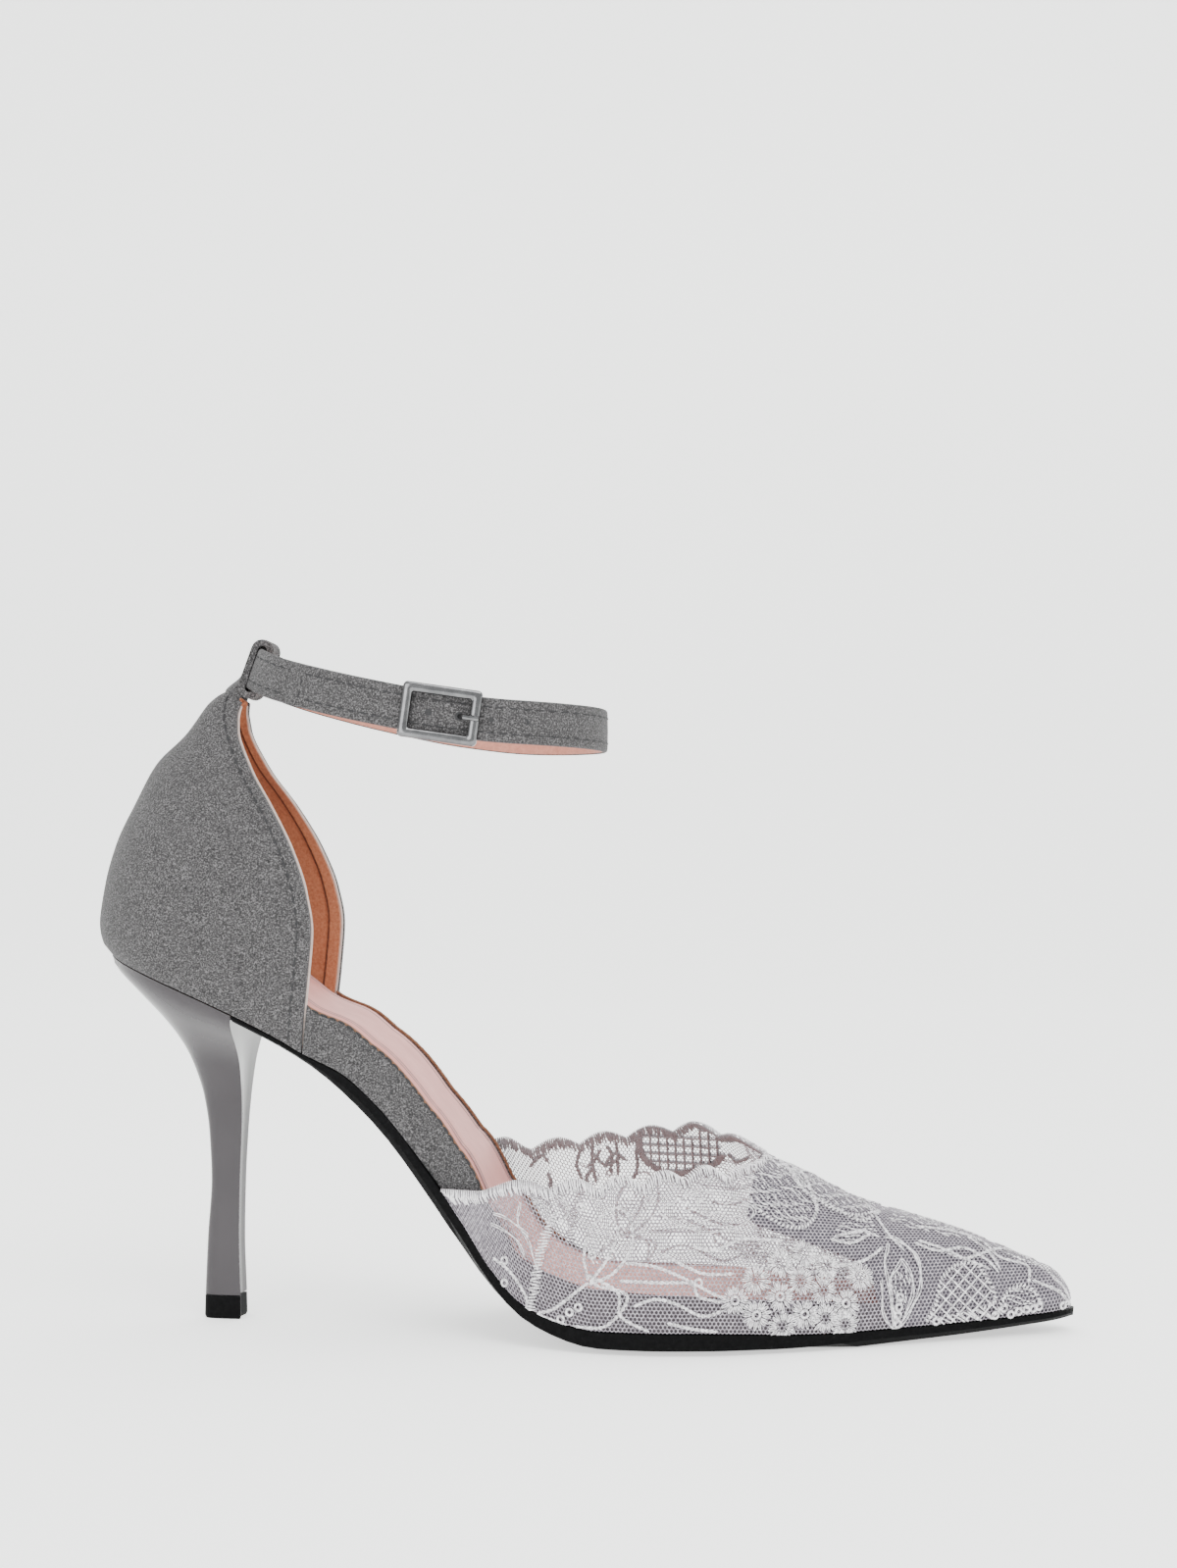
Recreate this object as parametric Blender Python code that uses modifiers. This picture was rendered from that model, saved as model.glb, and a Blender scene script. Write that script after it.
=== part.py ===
"""Ankle strap pump: one right shoe in EU 38 with a 9 cm stiletto heel.

The toe points to +X, the inner side of the foot to +Y, and the floor is z = 0. Every piece is
lofted from the last: a tread line, an outline, a ridge and the rows of the heel counter. Lengths
are in metres, and each table holds shares of the sizes that it names. The back of the last is x = 0.
"""
import math

import bmesh
import bpy
from mathutils import Vector

# Sizes of the last
SHOE_LENGTH = 0.236
SEAT_WIDTH = 0.046
WAIST_WIDTH = 0.039
BALL_WIDTH = 0.074
TOE_WIDTH = 0.0168
TOE_ROUND = 0.007
TOE_OFFSET = 0.004
SEAT_BACK = 0.0039
SEAT_ROUND = 0.025
HEEL_RISE = 0.0876
TOE_SPRING = 0.0038
THROAT_HEIGHT = 0.0363
ARCH_LIFT = 0.0012
SLOPE_STEP = 0.0005

# Thickness of the sole and the footbed
SOLE_SEAT = 0.0012
SOLE_WAIST = 0.0034
SOLE_BALL = 0.0050
SOLE_TOE = 0.0018
SOLE_BEVEL = 0.0013
TREAD_HALF = 0.022
INSOLE_SEAT = 0.0120
INSOLE_WAIST = 0.0092
INSOLE_BALL = 0.0048
INSOLE_TOE = 0.0032

# Walls and the gap between pieces that touch
CLEARANCE = 0.0003
QUARTER_WALL = 0.0022
BAND_WALL = 0.0014
VAMP_WALL = 0.0011
TOE_WALL = 0.0020
FEATHER_INSET = 0.0004
VAMP_BULGE = 0.0011
VAMP_LEAST = 0.0008
SECTION_OUT = 2.35
SECTION_UP = 2.1

# Heel block and its top piece
BREAST_TOP = 0.0377
BREAST_HOLLOW = 0.0007
HEEL_TIP_HEIGHT = 0.0055

# Upper
QUARTER_LENGTH = 0.057
QUARTER_HEIGHT = 0.0638
QUARTER_FRONT_HEIGHT = 0.0832
VAMP_REAR = 0.0876
THROAT_FRONT = 0.162
SCALLOP_DEPTH = 0.0024
BAND_FRONT = 0.118
BAND_ROUND = 0.0003
BAND_BELOW_SOCK = 0.0004
BAND_LEAN = 0.0006

# Ankle strap, its loop and its buckle
STRAP_WIDTH = 0.0102
STRAP_THICK = 0.0017
STRAP_EDGE = 0.0003
STRAP_CORNER = 0.0014
STRAP_LENGTH_X = 0.0850
STRAP_SPAN_Y = 0.0540
STRAP_AHEAD = 0.00280
STRAP_ABOVE = 0.00828
STRAP_DROP = 0.0152
STRAP_TILT = 0.045
STRAP_LEAN = math.radians(20.0)
STRAP_RISE_START = math.radians(54.0)
STRAP_RISE_END = math.radians(17.0)
SLOT_AHEAD = 0.0042
SLOT_LENGTH = 0.0036
SLOT_PLAY = 0.0008
LOOP_WIDTH = 0.0086
LOOP_THICK = 0.0016
BUCKLE_LENGTH = 0.0186
BUCKLE_HEIGHT = 0.0130
BUCKLE_BAR = 0.0023
BUCKLE_THICK = 0.0015
BUCKLE_PIN = 0.0016
BUCKLE_EDGE = 0.0003
BUCKLE_SHOULDER = 0.0002
PRONG_THICK = 0.0013
BUCKLE_ANGLE = math.radians(100.0)
FREE_END_ANGLE = math.radians(47.0)

# Tread line: along the shoe, rise (share of HEEL_RISE), spring (share of TOE_SPRING)
TREAD_LINE = (
    (0.0165, 1.000, 0.00),
    (0.0650, 0.954, 0.00),
    (0.1610, 0.842, 0.00),
    (0.2410, 0.719, 0.00),
    (0.3000, 0.576, 0.00),
    (0.3585, 0.380, 0.00),
    (0.3890, 0.267, 0.00),
    (0.4200, 0.152, 0.00),
    (0.4500, 0.072, 0.00),
    (0.4770, 0.034, 0.00),
    (0.5050, 0.010, 0.00),
    (0.5300, 0.000, 0.00),
    (0.7290, 0.000, 0.00),
    (0.8560, 0.000, 0.29),
    (0.9540, 0.000, 0.71),
    (1.0000, 0.000, 1.00),
)

# Thickness of the sole: along the shoe, size
SOLE_THICKNESS = (
    (0.000, SOLE_SEAT),
    (0.225, SOLE_SEAT),
    (0.285, SOLE_WAIST),
    (0.410, SOLE_WAIST),
    (0.520, SOLE_BALL),
    (0.630, SOLE_BALL),
    (0.720, 0.80 * SOLE_BALL),
    (0.860, 0.58 * SOLE_BALL),
    (1.000, SOLE_TOE),
)

# Lower edge of the sole's side: along the shoe, its height as a share of the sole; at the ball the
# tread is flat between two straight lines and curves up from them to the sides
SOLE_EDGE = (
    (0.00, 0.45),
    (0.42, 0.45),
    (0.50, 0.32),
    (0.56, 0.25),
    (0.70, 0.27),
    (0.80, 0.42),
    (1.00, 0.45),
)

# Thickness of the footbed: along the shoe, size
INSOLE_THICKNESS = (
    (0.000, INSOLE_SEAT),
    (0.190, INSOLE_SEAT),
    (0.260, INSOLE_WAIST),
    (0.420, INSOLE_WAIST),
    (0.520, 1.25 * INSOLE_BALL),
    (0.600, INSOLE_BALL),
    (1.000, INSOLE_TOE),
)

# Outline: along the shoe, the width it follows, outer half and inner half as shares of it
OUTLINE = (
    (0.000, SEAT_WIDTH, 0.480, 0.480),
    (0.130, SEAT_WIDTH, 0.500, 0.500),
    (0.240, WAIST_WIDTH, 0.533, 0.508),
    (0.310, WAIST_WIDTH, 0.518, 0.477),
    (0.370, WAIST_WIDTH, 0.585, 0.523),
    (0.420, BALL_WIDTH, 0.365, 0.319),
    (0.480, BALL_WIDTH, 0.436, 0.378),
    (0.540, BALL_WIDTH, 0.489, 0.441),
    (0.590, BALL_WIDTH, 0.505, 0.478),
    (0.640, BALL_WIDTH, 0.492, 0.489),
    (0.690, BALL_WIDTH, 0.449, 0.459),
    (0.750, BALL_WIDTH, 0.384, 0.400),
    (0.820, BALL_WIDTH, 0.289, 0.303),
    (0.900, TOE_WIDTH, 0.810, 0.833),
    (0.955, TOE_WIDTH, 0.488, 0.512),
    (1.000, TOE_WIDTH, 0.262, 0.274),
)

# Swing of the centre line to the inner side: along the shoe, share of TOE_OFFSET
CENTRE_LINE = (
    (0.00, 0.00),
    (0.45, 0.00),
    (0.64, 0.14),
    (0.80, 0.52),
    (1.00, 1.00),
)

# Lift of the footbed's inner edge at the arch: along the shoe, share of ARCH_LIFT
ARCH = (
    (0.20, 0.0),
    (0.26, 0.8),
    (0.30, 1.0),
    (0.34, 0.8),
    (0.42, 0.0),
)

# Ridge of the vamp over the feather line: share of the throat behind its front (below 0) or of the
# toe ahead of it (above 0), share of THROAT_HEIGHT
RIDGE = (
    (-1.000, 1.650),
    (-0.690, 1.620),
    (-0.430, 1.470),
    (-0.160, 1.210),
    (0.000, 1.000),
    (0.135, 0.895),
    (0.324, 0.715),
    (0.451, 0.640),
    (0.639, 0.518),
    (0.764, 0.410),
    (0.888, 0.295),
    (1.000, 0.225),
)

# Topline of the vamp: share of the throat, outer and inner height over the feather line at the
# throat's front, as shares of THROAT_HEIGHT
TOPLINE = (
    (0.000, 0.845, 0.930),
    (0.125, 0.850, 1.025),
    (0.215, 0.860, 0.940),
    (0.330, 0.875, 0.962),
    (0.505, 0.895, 1.010),
    (0.660, 0.925, 1.053),
    (0.750, 0.942, 1.080),
    (0.850, 0.952, 1.050),
    (0.925, 0.955, 1.020),
    (1.000, 1.000, 1.000),
)

# Scallops on the outer and the inner topline: first valley (share of the throat), count, power
# that crowds them towards the throat's front
SCALLOPS = (
    (0.137, 6, 1.3),
    (0.215, 5, 1.0),
)

# Rows of the quarter: back x, back height, front x, front height, width
# (x as shares of QUARTER_LENGTH, heights as shares of QUARTER_HEIGHT and QUARTER_FRONT_HEIGHT)
QUARTER_ROWS = (
    (0.0684, 0.000, 0.953, 0.000, 1.00),
    (0.0300, 0.041, 0.963, 0.093, 1.03),
    (0.0158, 0.116, 0.981, 0.213, 1.06),
    (0.0404, 0.266, 0.995, 0.345, 1.06),
    (0.0877, 0.418, 0.970, 0.453, 1.02),
    (0.1667, 0.569, 0.905, 0.573, 0.92),
    (0.2562, 0.720, 0.807, 0.693, 0.76),
    (0.3807, 0.832, 0.700, 0.805, 0.54),
    (0.4824, 0.953, 0.630, 0.916, 0.38),
    (0.5281, 0.984, 0.625, 0.964, 0.30),
    (0.5667, 1.000, 0.635, 1.000, 0.22),
)

# Heel block: height (share of the breast), back x and breast x (shares of BREAST_TOP), half width
# as a share of SEAT_WIDTH
HEEL_ROWS = (
    (0.000, 0.700, 0.947, 0.076),
    (0.200, 0.716, 0.936, 0.072),
    (0.400, 0.740, 0.942, 0.074),
    (0.560, 0.727, 0.955, 0.082),
    (0.680, 0.695, 0.966, 0.111),
    (0.770, 0.640, 0.973, 0.163),
    (0.840, 0.568, 0.979, 0.224),
    (0.900, 0.470, 0.984, 0.293),
    (0.950, 0.330, 0.989, 0.380),
    (1.000, 0.103, 1.000, 0.485),
)

# Top piece under the heel: share of HEEL_TIP_HEIGHT, size over the foot of the heel
HEEL_TIP_ROWS = (
    (0.00, 0.96),
    (0.11, 1.02),
    (1.00, 1.00),
)

# Fall of the ankle strap from back to front: share of its length, share of STRAP_DROP
STRAP_FALL = (
    (0.000, 0.000),
    (0.082, 0.205),
    (0.208, 0.411),
    (0.386, 0.646),
    (0.557, 0.828),
    (0.767, 0.960),
    (1.000, 1.000),
)


def curve(rows, column, at):
    """Monotone cubic through one column of a table, held level past its ends."""
    xs = [row[0] for row in rows]
    ys = [row[column] for row in rows]
    if at <= xs[0]:
        return ys[0]
    if at >= xs[-1]:
        return ys[-1]
    rise = [(ys[i + 1] - ys[i]) / (xs[i + 1] - xs[i]) for i in range(len(xs) - 1)]
    slope = [0.0] * len(xs)
    for i in range(1, len(xs) - 1):
        if rise[i - 1] * rise[i] > 0.0:
            before = xs[i] - xs[i - 1]
            after = xs[i + 1] - xs[i]
            weight = 2.0 * after + before
            other = after + 2.0 * before
            slope[i] = (weight + other) / (weight / rise[i - 1] + other / rise[i])
    slope[0] = rise[0]
    slope[-1] = rise[-1]
    k = max(i for i in range(len(xs) - 1) if xs[i] <= at)
    span = xs[k + 1] - xs[k]
    t = (at - xs[k]) / span
    return (
        ys[k] * (1 + 2 * t) * (1 - t) ** 2
        + slope[k] * span * t * (1 - t) ** 2
        + ys[k + 1] * t * t * (3 - 2 * t)
        + slope[k + 1] * span * t * t * (t - 1)
    )


def mix(first, second, share):
    """Value between two values."""
    return first + (second - first) * share


def rounding(distance, radius, power=2.0):
    """Share of the full width at a distance from a rounded end."""
    if distance >= radius:
        return 1.0
    left = 1.0 - max(0.0, distance) / radius
    return (1.0 - left ** power) ** (1.0 / power)


def tread(x):
    """Height of the underside of the sole."""
    along = x / SHOE_LENGTH
    return curve(TREAD_LINE, 1, along) * HEEL_RISE + curve(TREAD_LINE, 2, along) * TOE_SPRING


def steepness(x):
    """How much longer the tread line is than its plan at x."""
    slope = (tread(x + SLOPE_STEP) - tread(x - SLOPE_STEP)) / (2 * SLOPE_STEP)
    return math.sqrt(1.0 + slope * slope)


def feather(x):
    """Height of the feather line, where the upper meets the sole."""
    return tread(x) + curve(SOLE_THICKNESS, 1, x / SHOE_LENGTH) * steepness(x)


def insole_top(x):
    """Height of the sock on the footbed."""
    return feather(x) + curve(INSOLE_THICKNESS, 1, x / SHOE_LENGTH) * steepness(x)


def arch_lift(x):
    """How much higher the footbed's inner edge lies at the arch."""
    return ARCH_LIFT * curve(ARCH, 1, x / SHOE_LENGTH)


def centre(x):
    """Y of the shoe's centre line."""
    return TOE_OFFSET * curve(CENTRE_LINE, 1, x / SHOE_LENGTH)


def full_half(x, side):
    """Half width of the outline before its ends are rounded; side is -1 outer, +1 inner."""
    column = 2 if side < 0 else 3
    rows = [(row[0], row[1] * row[column]) for row in OUTLINE]
    return curve(rows, 1, x / SHOE_LENGTH)


def half_width(x, side, back=SEAT_BACK, tip=SHOE_LENGTH):
    """Half width of the outline on one side."""
    ends = rounding(x - back, SEAT_ROUND, 2.2) * rounding(tip - x, TOE_ROUND)
    return full_half(x, side) * ends


def spread(start, end, count):
    """Evenly spaced values with both ends."""
    return [mix(start, end, i / count) for i in range(count + 1)]


def tip_stations(start, tip, count, steps):
    """Stations that run evenly up to the rounded tip and then close in on it."""
    stations = spread(start, tip - TOE_ROUND, count)
    for i in range(1, steps + 1):
        stations.append(tip - TOE_ROUND + TOE_ROUND * math.sin(math.pi / 2 * i / steps))
    return stations


def back_stations(back, end, steps, count):
    """Stations that open out from the rounded seat and then run evenly."""
    stations = []
    for i in range(steps):
        stations.append(back + SEAT_ROUND * (1.0 - math.cos(math.pi / 2 * i / steps)))
    return stations + spread(back + SEAT_ROUND, end, count)


def make_material(name, colour, roughness, metallic=0.0):
    """Principled material of one piece."""
    material = bpy.data.materials.new(name)
    material.use_nodes = True
    shader = material.node_tree.nodes["Principled BSDF"]
    shader.inputs["Base Color"].default_value = (*colour, 1.0)
    shader.inputs["Roughness"].default_value = roughness
    shader.inputs["Metallic"].default_value = metallic
    material.diffuse_color = (*colour, 1.0)
    return material


def add_object(name, points, faces, material, parts):
    """Mesh object from points and faces, with its normals pointing out."""
    mesh = bpy.data.meshes.new(name)
    mesh.from_pydata([tuple(point) for point in points], [], faces)
    piece = bpy.data.objects.new(name, mesh)
    parts.objects.link(piece)
    tidy = bmesh.new()
    tidy.from_mesh(mesh)
    bmesh.ops.recalc_face_normals(tidy, faces=tidy.faces)
    if tidy.calc_volume(signed=True) < 0.0:
        bmesh.ops.reverse_faces(tidy, faces=tidy.faces)
    tidy.to_mesh(mesh)
    tidy.free()
    mesh.materials.append(material)
    mesh.shade_smooth()
    mesh.set_sharp_from_angle(angle=math.radians(35.0))
    return piece


def loft(name, rings, material, parts, closed_tip=None):
    """Closed body through rings whose points mirror each other across their middle.

    Point 0 and the point half way round lie on the middle; every other point has a partner
    opposite it, and the end rings are closed by strips between partners. With closed_tip the
    last ring runs together in that point.
    """
    count = len(rings[0])
    points = [point for ring in rings for point in ring]
    faces = []
    for i in range(len(rings) - 1):
        for j in range(count):
            k = (j + 1) % count
            faces.append((i * count + j, i * count + k, (i + 1) * count + k, (i + 1) * count + j))
    ends = [0] if closed_tip is not None else [0, (len(rings) - 1) * count]
    for base in ends:
        faces += ring_cap(base, count)
    if closed_tip is not None:
        last = (len(rings) - 1) * count
        points.append(closed_tip)
        for j in range(count):
            faces.append((last + j, last + (j + 1) % count, len(points) - 1))
    return add_object(name, points, faces, material, parts)


def ring_cap(base, count):
    """Strips that close a mirrored ring."""
    half = count // 2
    strips = [(base, base + 1, base + count - 1)]
    for j in range(1, half - 1):
        strips.append((base + j, base + j + 1, base + count - j - 1, base + count - j))
    strips.append((base + half - 1, base + half, base + half + 1))
    return strips


def shell(name, outer, inner, faces, material, parts):
    """Wall between two skins with the same faces, closed by a rim along every open edge."""
    count = len(outer)
    edges = {}
    for face in faces:
        for i, start in enumerate(face):
            end = face[(i + 1) % len(face)]
            key = (min(start, end), max(start, end))
            edges[key] = edges.get(key, 0) + 1
    walls = [tuple(face) for face in faces]
    walls += [tuple(index + count for index in reversed(face)) for face in faces]
    for (start, end), uses in edges.items():
        if uses == 1:
            walls.append((start, end, end + count, start + count))
    return add_object(name, outer + inner, walls, material, parts)


def sole_section(x):
    """Section of the outsole at x: a square upper edge, and a tread that is flat in the middle."""
    top = feather(x)
    under = tread(x)
    edge = mix(under, top, curve(SOLE_EDGE, 1, x / SHOE_LENGTH))
    left = centre(x) - half_width(x, -1)
    right = centre(x) + half_width(x, 1)
    bevel = min(SOLE_BEVEL, 0.3 * (right - left))
    middle = centre(x)
    return [
        Vector((x, middle, top)),
        Vector((x, left, top)),
        Vector((x, left, edge)),
        Vector((x, max(left + bevel, -TREAD_HALF), under)),
        Vector((x, middle, under)),
        Vector((x, min(right - bevel, TREAD_HALF), under)),
        Vector((x, right, edge)),
        Vector((x, right, top)),
    ]


def build_outsole(material, parts):
    """Outsole from the heel breast to the toe."""
    start = BREAST_TOP + CLEARANCE
    stations = tip_stations(start, SHOE_LENGTH, 52, 6)
    rings = [sole_section(x) for x in stations[:-1]]
    tip = Vector((SHOE_LENGTH, centre(SHOE_LENGTH), feather(SHOE_LENGTH)))
    return loft("outsole", rings, material, parts, closed_tip=tip)


def heel_ring(v, height):
    """Level of the heel block; the top level follows the seat."""
    back = curve(HEEL_ROWS, 1, v) * BREAST_TOP
    breast = curve(HEEL_ROWS, 2, v) * BREAST_TOP
    wide = curve(HEEL_ROWS, 3, v) * SEAT_WIDTH
    seat_share = max(0.0, (v - 0.8) / 0.2) ** 2
    square = mix(3.6, 2.2, seat_share)
    flat = mix(HEEL_TIP_HEIGHT + CLEARANCE, height, v)

    def place(x, y):
        lift = (feather(x) - height) * v ** 4
        return Vector((x, y, flat + lift))

    steps = 10
    side = []
    for i in range(steps):
        angle = math.pi / 2 * (1.0 - i / steps)
        x = mix(breast, back, math.cos(angle) ** (2.0 / square))
        level = wide * math.sin(angle) ** (2.0 / square)
        seat = half_width(x, -1) if x > SEAT_BACK else 0.0
        side.append((x, mix(level, seat, seat_share)))
    hollow = BREAST_HOLLOW * (1.0 - seat_share)
    ring = [place(breast - hollow, 0.0), place(breast - 0.5 * hollow, -0.5 * side[0][1])]
    ring += [place(x, -y) for x, y in side]
    ring.append(place(back, 0.0))
    ring += [place(x, y) for x, y in reversed(side)]
    ring.append(place(breast - 0.5 * hollow, 0.5 * side[0][1]))
    return ring


def build_heel(material, parts):
    """Stiletto block between the seat and the top piece."""
    height = feather(BREAST_TOP)
    rings = [heel_ring(v, height) for v in spread(0.0, 1.0, 24)]
    return loft("heel", rings, material, parts)


def build_heel_tip(material, parts):
    """Top piece under the heel, a little wider at the floor."""
    height = feather(BREAST_TOP)
    foot = heel_ring(0.0, height)
    middle = Vector((mix(curve(HEEL_ROWS, 1, 0.0), curve(HEEL_ROWS, 2, 0.0), 0.5) * BREAST_TOP, 0, 0))
    rings = []
    for share, grow in HEEL_TIP_ROWS:
        ring = []
        for point in foot:
            spot = middle + (point - middle) * grow
            ring.append(Vector((spot.x, spot.y, share * HEEL_TIP_HEIGHT)))
        rings.append(ring)
    return loft("heel_tip", rings, material, parts)


def insole_inset(x):
    """How far the footbed's edge lies inside the outline."""
    quarter_end = QUARTER_ROWS[0][2] * QUARTER_LENGTH
    under_quarter = QUARTER_WALL + CLEARANCE
    in_band = band_inset(x) + BAND_WALL + CLEARANCE
    in_vamp = FEATHER_INSET + VAMP_WALL + 4 * CLEARANCE
    rows = (
        (quarter_end, under_quarter),
        (quarter_end + 0.004, in_band),
        (BAND_FRONT, in_band),
        (BAND_FRONT + 0.006, in_vamp),
    )
    return curve(rows, 1, x)


def insole_section(x, back, tip):
    """Section of the footbed at x."""
    inset = insole_inset(x)
    low = feather(x) + CLEARANCE
    high = insole_top(x)
    halves = []
    for side in (-1, 1):
        half = half_width(x, side, back, tip)
        halves.append(half - inset * min(1.0, half / (3.0 * inset)))
    left = centre(x) - halves[0]
    right = centre(x) + halves[1]
    crown = 0.12 * (right - left)
    ease = mix(low, high, 0.8)
    lift = arch_lift(x)
    return [
        Vector((x, centre(x), high)),
        Vector((x, left + crown, high)),
        Vector((x, left, ease)),
        Vector((x, left, low)),
        Vector((x, centre(x), low)),
        Vector((x, right, low)),
        Vector((x, right, ease + lift)),
        Vector((x, right - crown, high + 0.6 * lift)),
    ]


def build_insole(material, parts):
    """Footbed with its sock, from the back of the seat to the toe."""
    back = SEAT_BACK + QUARTER_WALL + CLEARANCE
    tip = SHOE_LENGTH - FEATHER_INSET - TOE_WALL - 4 * CLEARANCE
    stations = back_stations(back, 0.06, 7, 9)[1:]
    stations += tip_stations(0.06, tip, 40, 5)[1:-1]
    rings = [insole_section(x, back, tip) for x in stations]
    low = feather(tip) + CLEARANCE
    end = Vector((tip, centre(tip), mix(low, insole_top(tip), 0.5)))
    return loft("insole", rings, material, parts, closed_tip=end)


def band_inset(x):
    """How far the waist band's face lies inside the outline: flush, then under the vamp."""
    under_vamp = FEATHER_INSET + VAMP_WALL + 1.5 * CLEARANCE
    rows = ((VAMP_REAR - 0.009, 0.0), (VAMP_REAR - 0.001, under_vamp))
    return curve(rows, 1, x)


def build_band(name, side, material, parts):
    """Suede strip on the edge of the footbed, from the quarter to under the vamp."""
    start = QUARTER_ROWS[0][2] * QUARTER_LENGTH + CLEARANCE
    rings = []
    for x in spread(start, BAND_FRONT, 26):
        face = half_width(x, side) - band_inset(x)
        low = feather(x) + CLEARANCE
        high = insole_top(x) - BAND_BELOW_SOCK + (0.4 * arch_lift(x) if side > 0 else 0.0)
        back = face - BAND_WALL
        lean = max(0.0, (x - VAMP_REAR) / (BAND_FRONT - VAMP_REAR)) * BAND_LEAN
        ring = [
            Vector((x, side * (back + 0.5 * BAND_WALL), high)),
            Vector((x, side * (face - BAND_ROUND - lean), high - BAND_ROUND)),
            Vector((x, side * face, mix(low, high, 0.5))),
            Vector((x, side * face, low)),
            Vector((x, side * (back + 0.5 * BAND_WALL), low)),
            Vector((x, side * back, low)),
            Vector((x, side * back, mix(low, high, 0.5))),
            Vector((x, side * back, high - BAND_ROUND)),
        ]
        rings.append([Vector((p.x, p.y + centre(x), p.z)) for p in ring])
    for point in rings[0]:
        point.x = quarter_edge(point.z) + CLEARANCE
    return loft(name, rings, material, parts)


def quarter_row(v):
    """One row of the quarter: back x and z, front x and z, width share."""
    last = len(QUARTER_ROWS) - 1
    rows = [(i / last, *row) for i, row in enumerate(QUARTER_ROWS)]
    seat_z = feather(SEAT_BACK) + CLEARANCE
    front_x = QUARTER_ROWS[0][2] * QUARTER_LENGTH
    front_z = feather(front_x) + CLEARANCE
    return (
        curve(rows, 1, v) * QUARTER_LENGTH,
        seat_z + QUARTER_HEIGHT * curve(rows, 2, v),
        curve(rows, 3, v) * QUARTER_LENGTH,
        front_z + QUARTER_FRONT_HEIGHT * curve(rows, 4, v),
        curve(rows, 5, v),
    )


def quarter_edge(z):
    """X of the quarter's front edge at a height near the sole."""
    low = quarter_row(0.0)
    high = quarter_row(0.2)
    share = (z - low[3]) / (high[3] - low[3])
    return mix(low[2], high[2], share)


def quarter_point(v, share, side, inset):
    """Point on the quarter: v up the wall, share from the back (0) to the front edge (1)."""
    back, back_z, front, front_z, width = quarter_row(v)
    start = back + inset
    x = mix(start, front, share)
    depth = front - back
    reach = min(SEAT_ROUND, depth)
    half = full_half(x, side) * width * rounding(x - start, reach - inset, 2.2)
    half -= inset * min(1.0, half / (3.0 * inset)) if inset > 0.0 else 0.0
    across = (x - back) / depth
    chord = mix(feather(back), feather(front), across)
    sag = (feather(x) - chord) * (1.0 - v) ** 6
    return Vector((x, side * half, mix(back_z, front_z, across) + sag))


def quarter_skin(inset, rows, columns):
    """Skin of the quarter, from the outer front edge round the back to the inner one."""
    points = []
    for i in range(rows + 1):
        v = i / rows
        for j in range(-columns, columns + 1):
            share = 1.0 - math.cos(math.pi / 2 * abs(j) / columns)
            side = -1 if j < 0 else 1
            points.append(quarter_point(v, share, side, inset))
    return points


def build_quarter(material, parts):
    """Hollow heel counter."""
    rows = 20
    columns = 11
    across = 2 * columns + 1
    faces = []
    for i in range(rows):
        for j in range(across - 1):
            start = i * across + j
            faces.append((start, start + 1, start + 1 + across, start + across))
    outer = quarter_skin(0.0, rows, columns)
    inner = quarter_skin(QUARTER_WALL, rows, columns)
    return shell("quarter", outer, inner, faces, material, parts)


def throat_share(x):
    """Where x lies on the throat: 0 at the vamp's rear, 1 at the throat's front."""
    return (x - VAMP_REAR) / (THROAT_FRONT - VAMP_REAR)


def topline(x, side):
    """Height of the scalloped topline over the floor."""
    column = 1 if side < 0 else 2
    share = throat_share(x)
    height = feather(THROAT_FRONT) + THROAT_HEIGHT * curve(TOPLINE, column, share)
    first, count, crowding = SCALLOPS[column - 1]
    if share <= first:
        return height
    wave = abs(math.sin(math.pi * count * ((share - first) / (1.0 - first)) ** crowding))
    return height + SCALLOP_DEPTH * wave * min(1.0, 8.0 * (1.0 - share))


def ridge_height(x):
    """Height of the vamp's ridge over the feather line."""
    if x < THROAT_FRONT:
        share = throat_share(x) - 1.0
    else:
        share = (x - THROAT_FRONT) / (SHOE_LENGTH - THROAT_FRONT)
    return THROAT_HEIGHT * curve(RIDGE, 1, share)


def vamp_point(x, side, climb, inset):
    """Point on the vamp: climb runs from the feather line (0) to the ridge (1)."""
    tip = SHOE_LENGTH - FEATHER_INSET
    angle = math.pi / 2 * climb
    base = half_width(x, side, tip=tip) - FEATHER_INSET * rounding(tip - x, TOE_ROUND)
    ridge = ridge_height(x) * rounding(tip - x, TOE_ROUND)
    thin = inset * min(1.0, base / (2.0 * VAMP_WALL))
    low = inset * min(1.0, ridge / (2.0 * VAMP_WALL))
    out = math.cos(angle) ** (2.0 / SECTION_OUT)
    up = math.sin(angle) ** (2.0 / SECTION_UP)
    bulge = VAMP_BULGE * 4.0 * math.sin(angle) * math.cos(angle) ** 5
    y = (base - thin) * out + bulge * rounding(tip - x, 3 * TOE_ROUND)
    shift = 0.0
    if inset > 0.0:
        shift = TOE_WALL * max(0.0, (x - THROAT_FRONT) / (tip - THROAT_FRONT)) ** 2
    z = feather(x) + CLEARANCE + (ridge - low) * up
    return Vector((x - shift, centre(x) + side * y, z))


def vamp_climb(x, side):
    """How far up the section the vamp reaches at x."""
    if x >= THROAT_FRONT:
        return 1.0
    ridge = ridge_height(x)
    share = (topline(x, side) - feather(x)) / ridge
    share = min(1.0, max(VAMP_LEAST / ridge, share))
    return math.asin(share ** (SECTION_UP / 2.0)) / (math.pi / 2)


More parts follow.
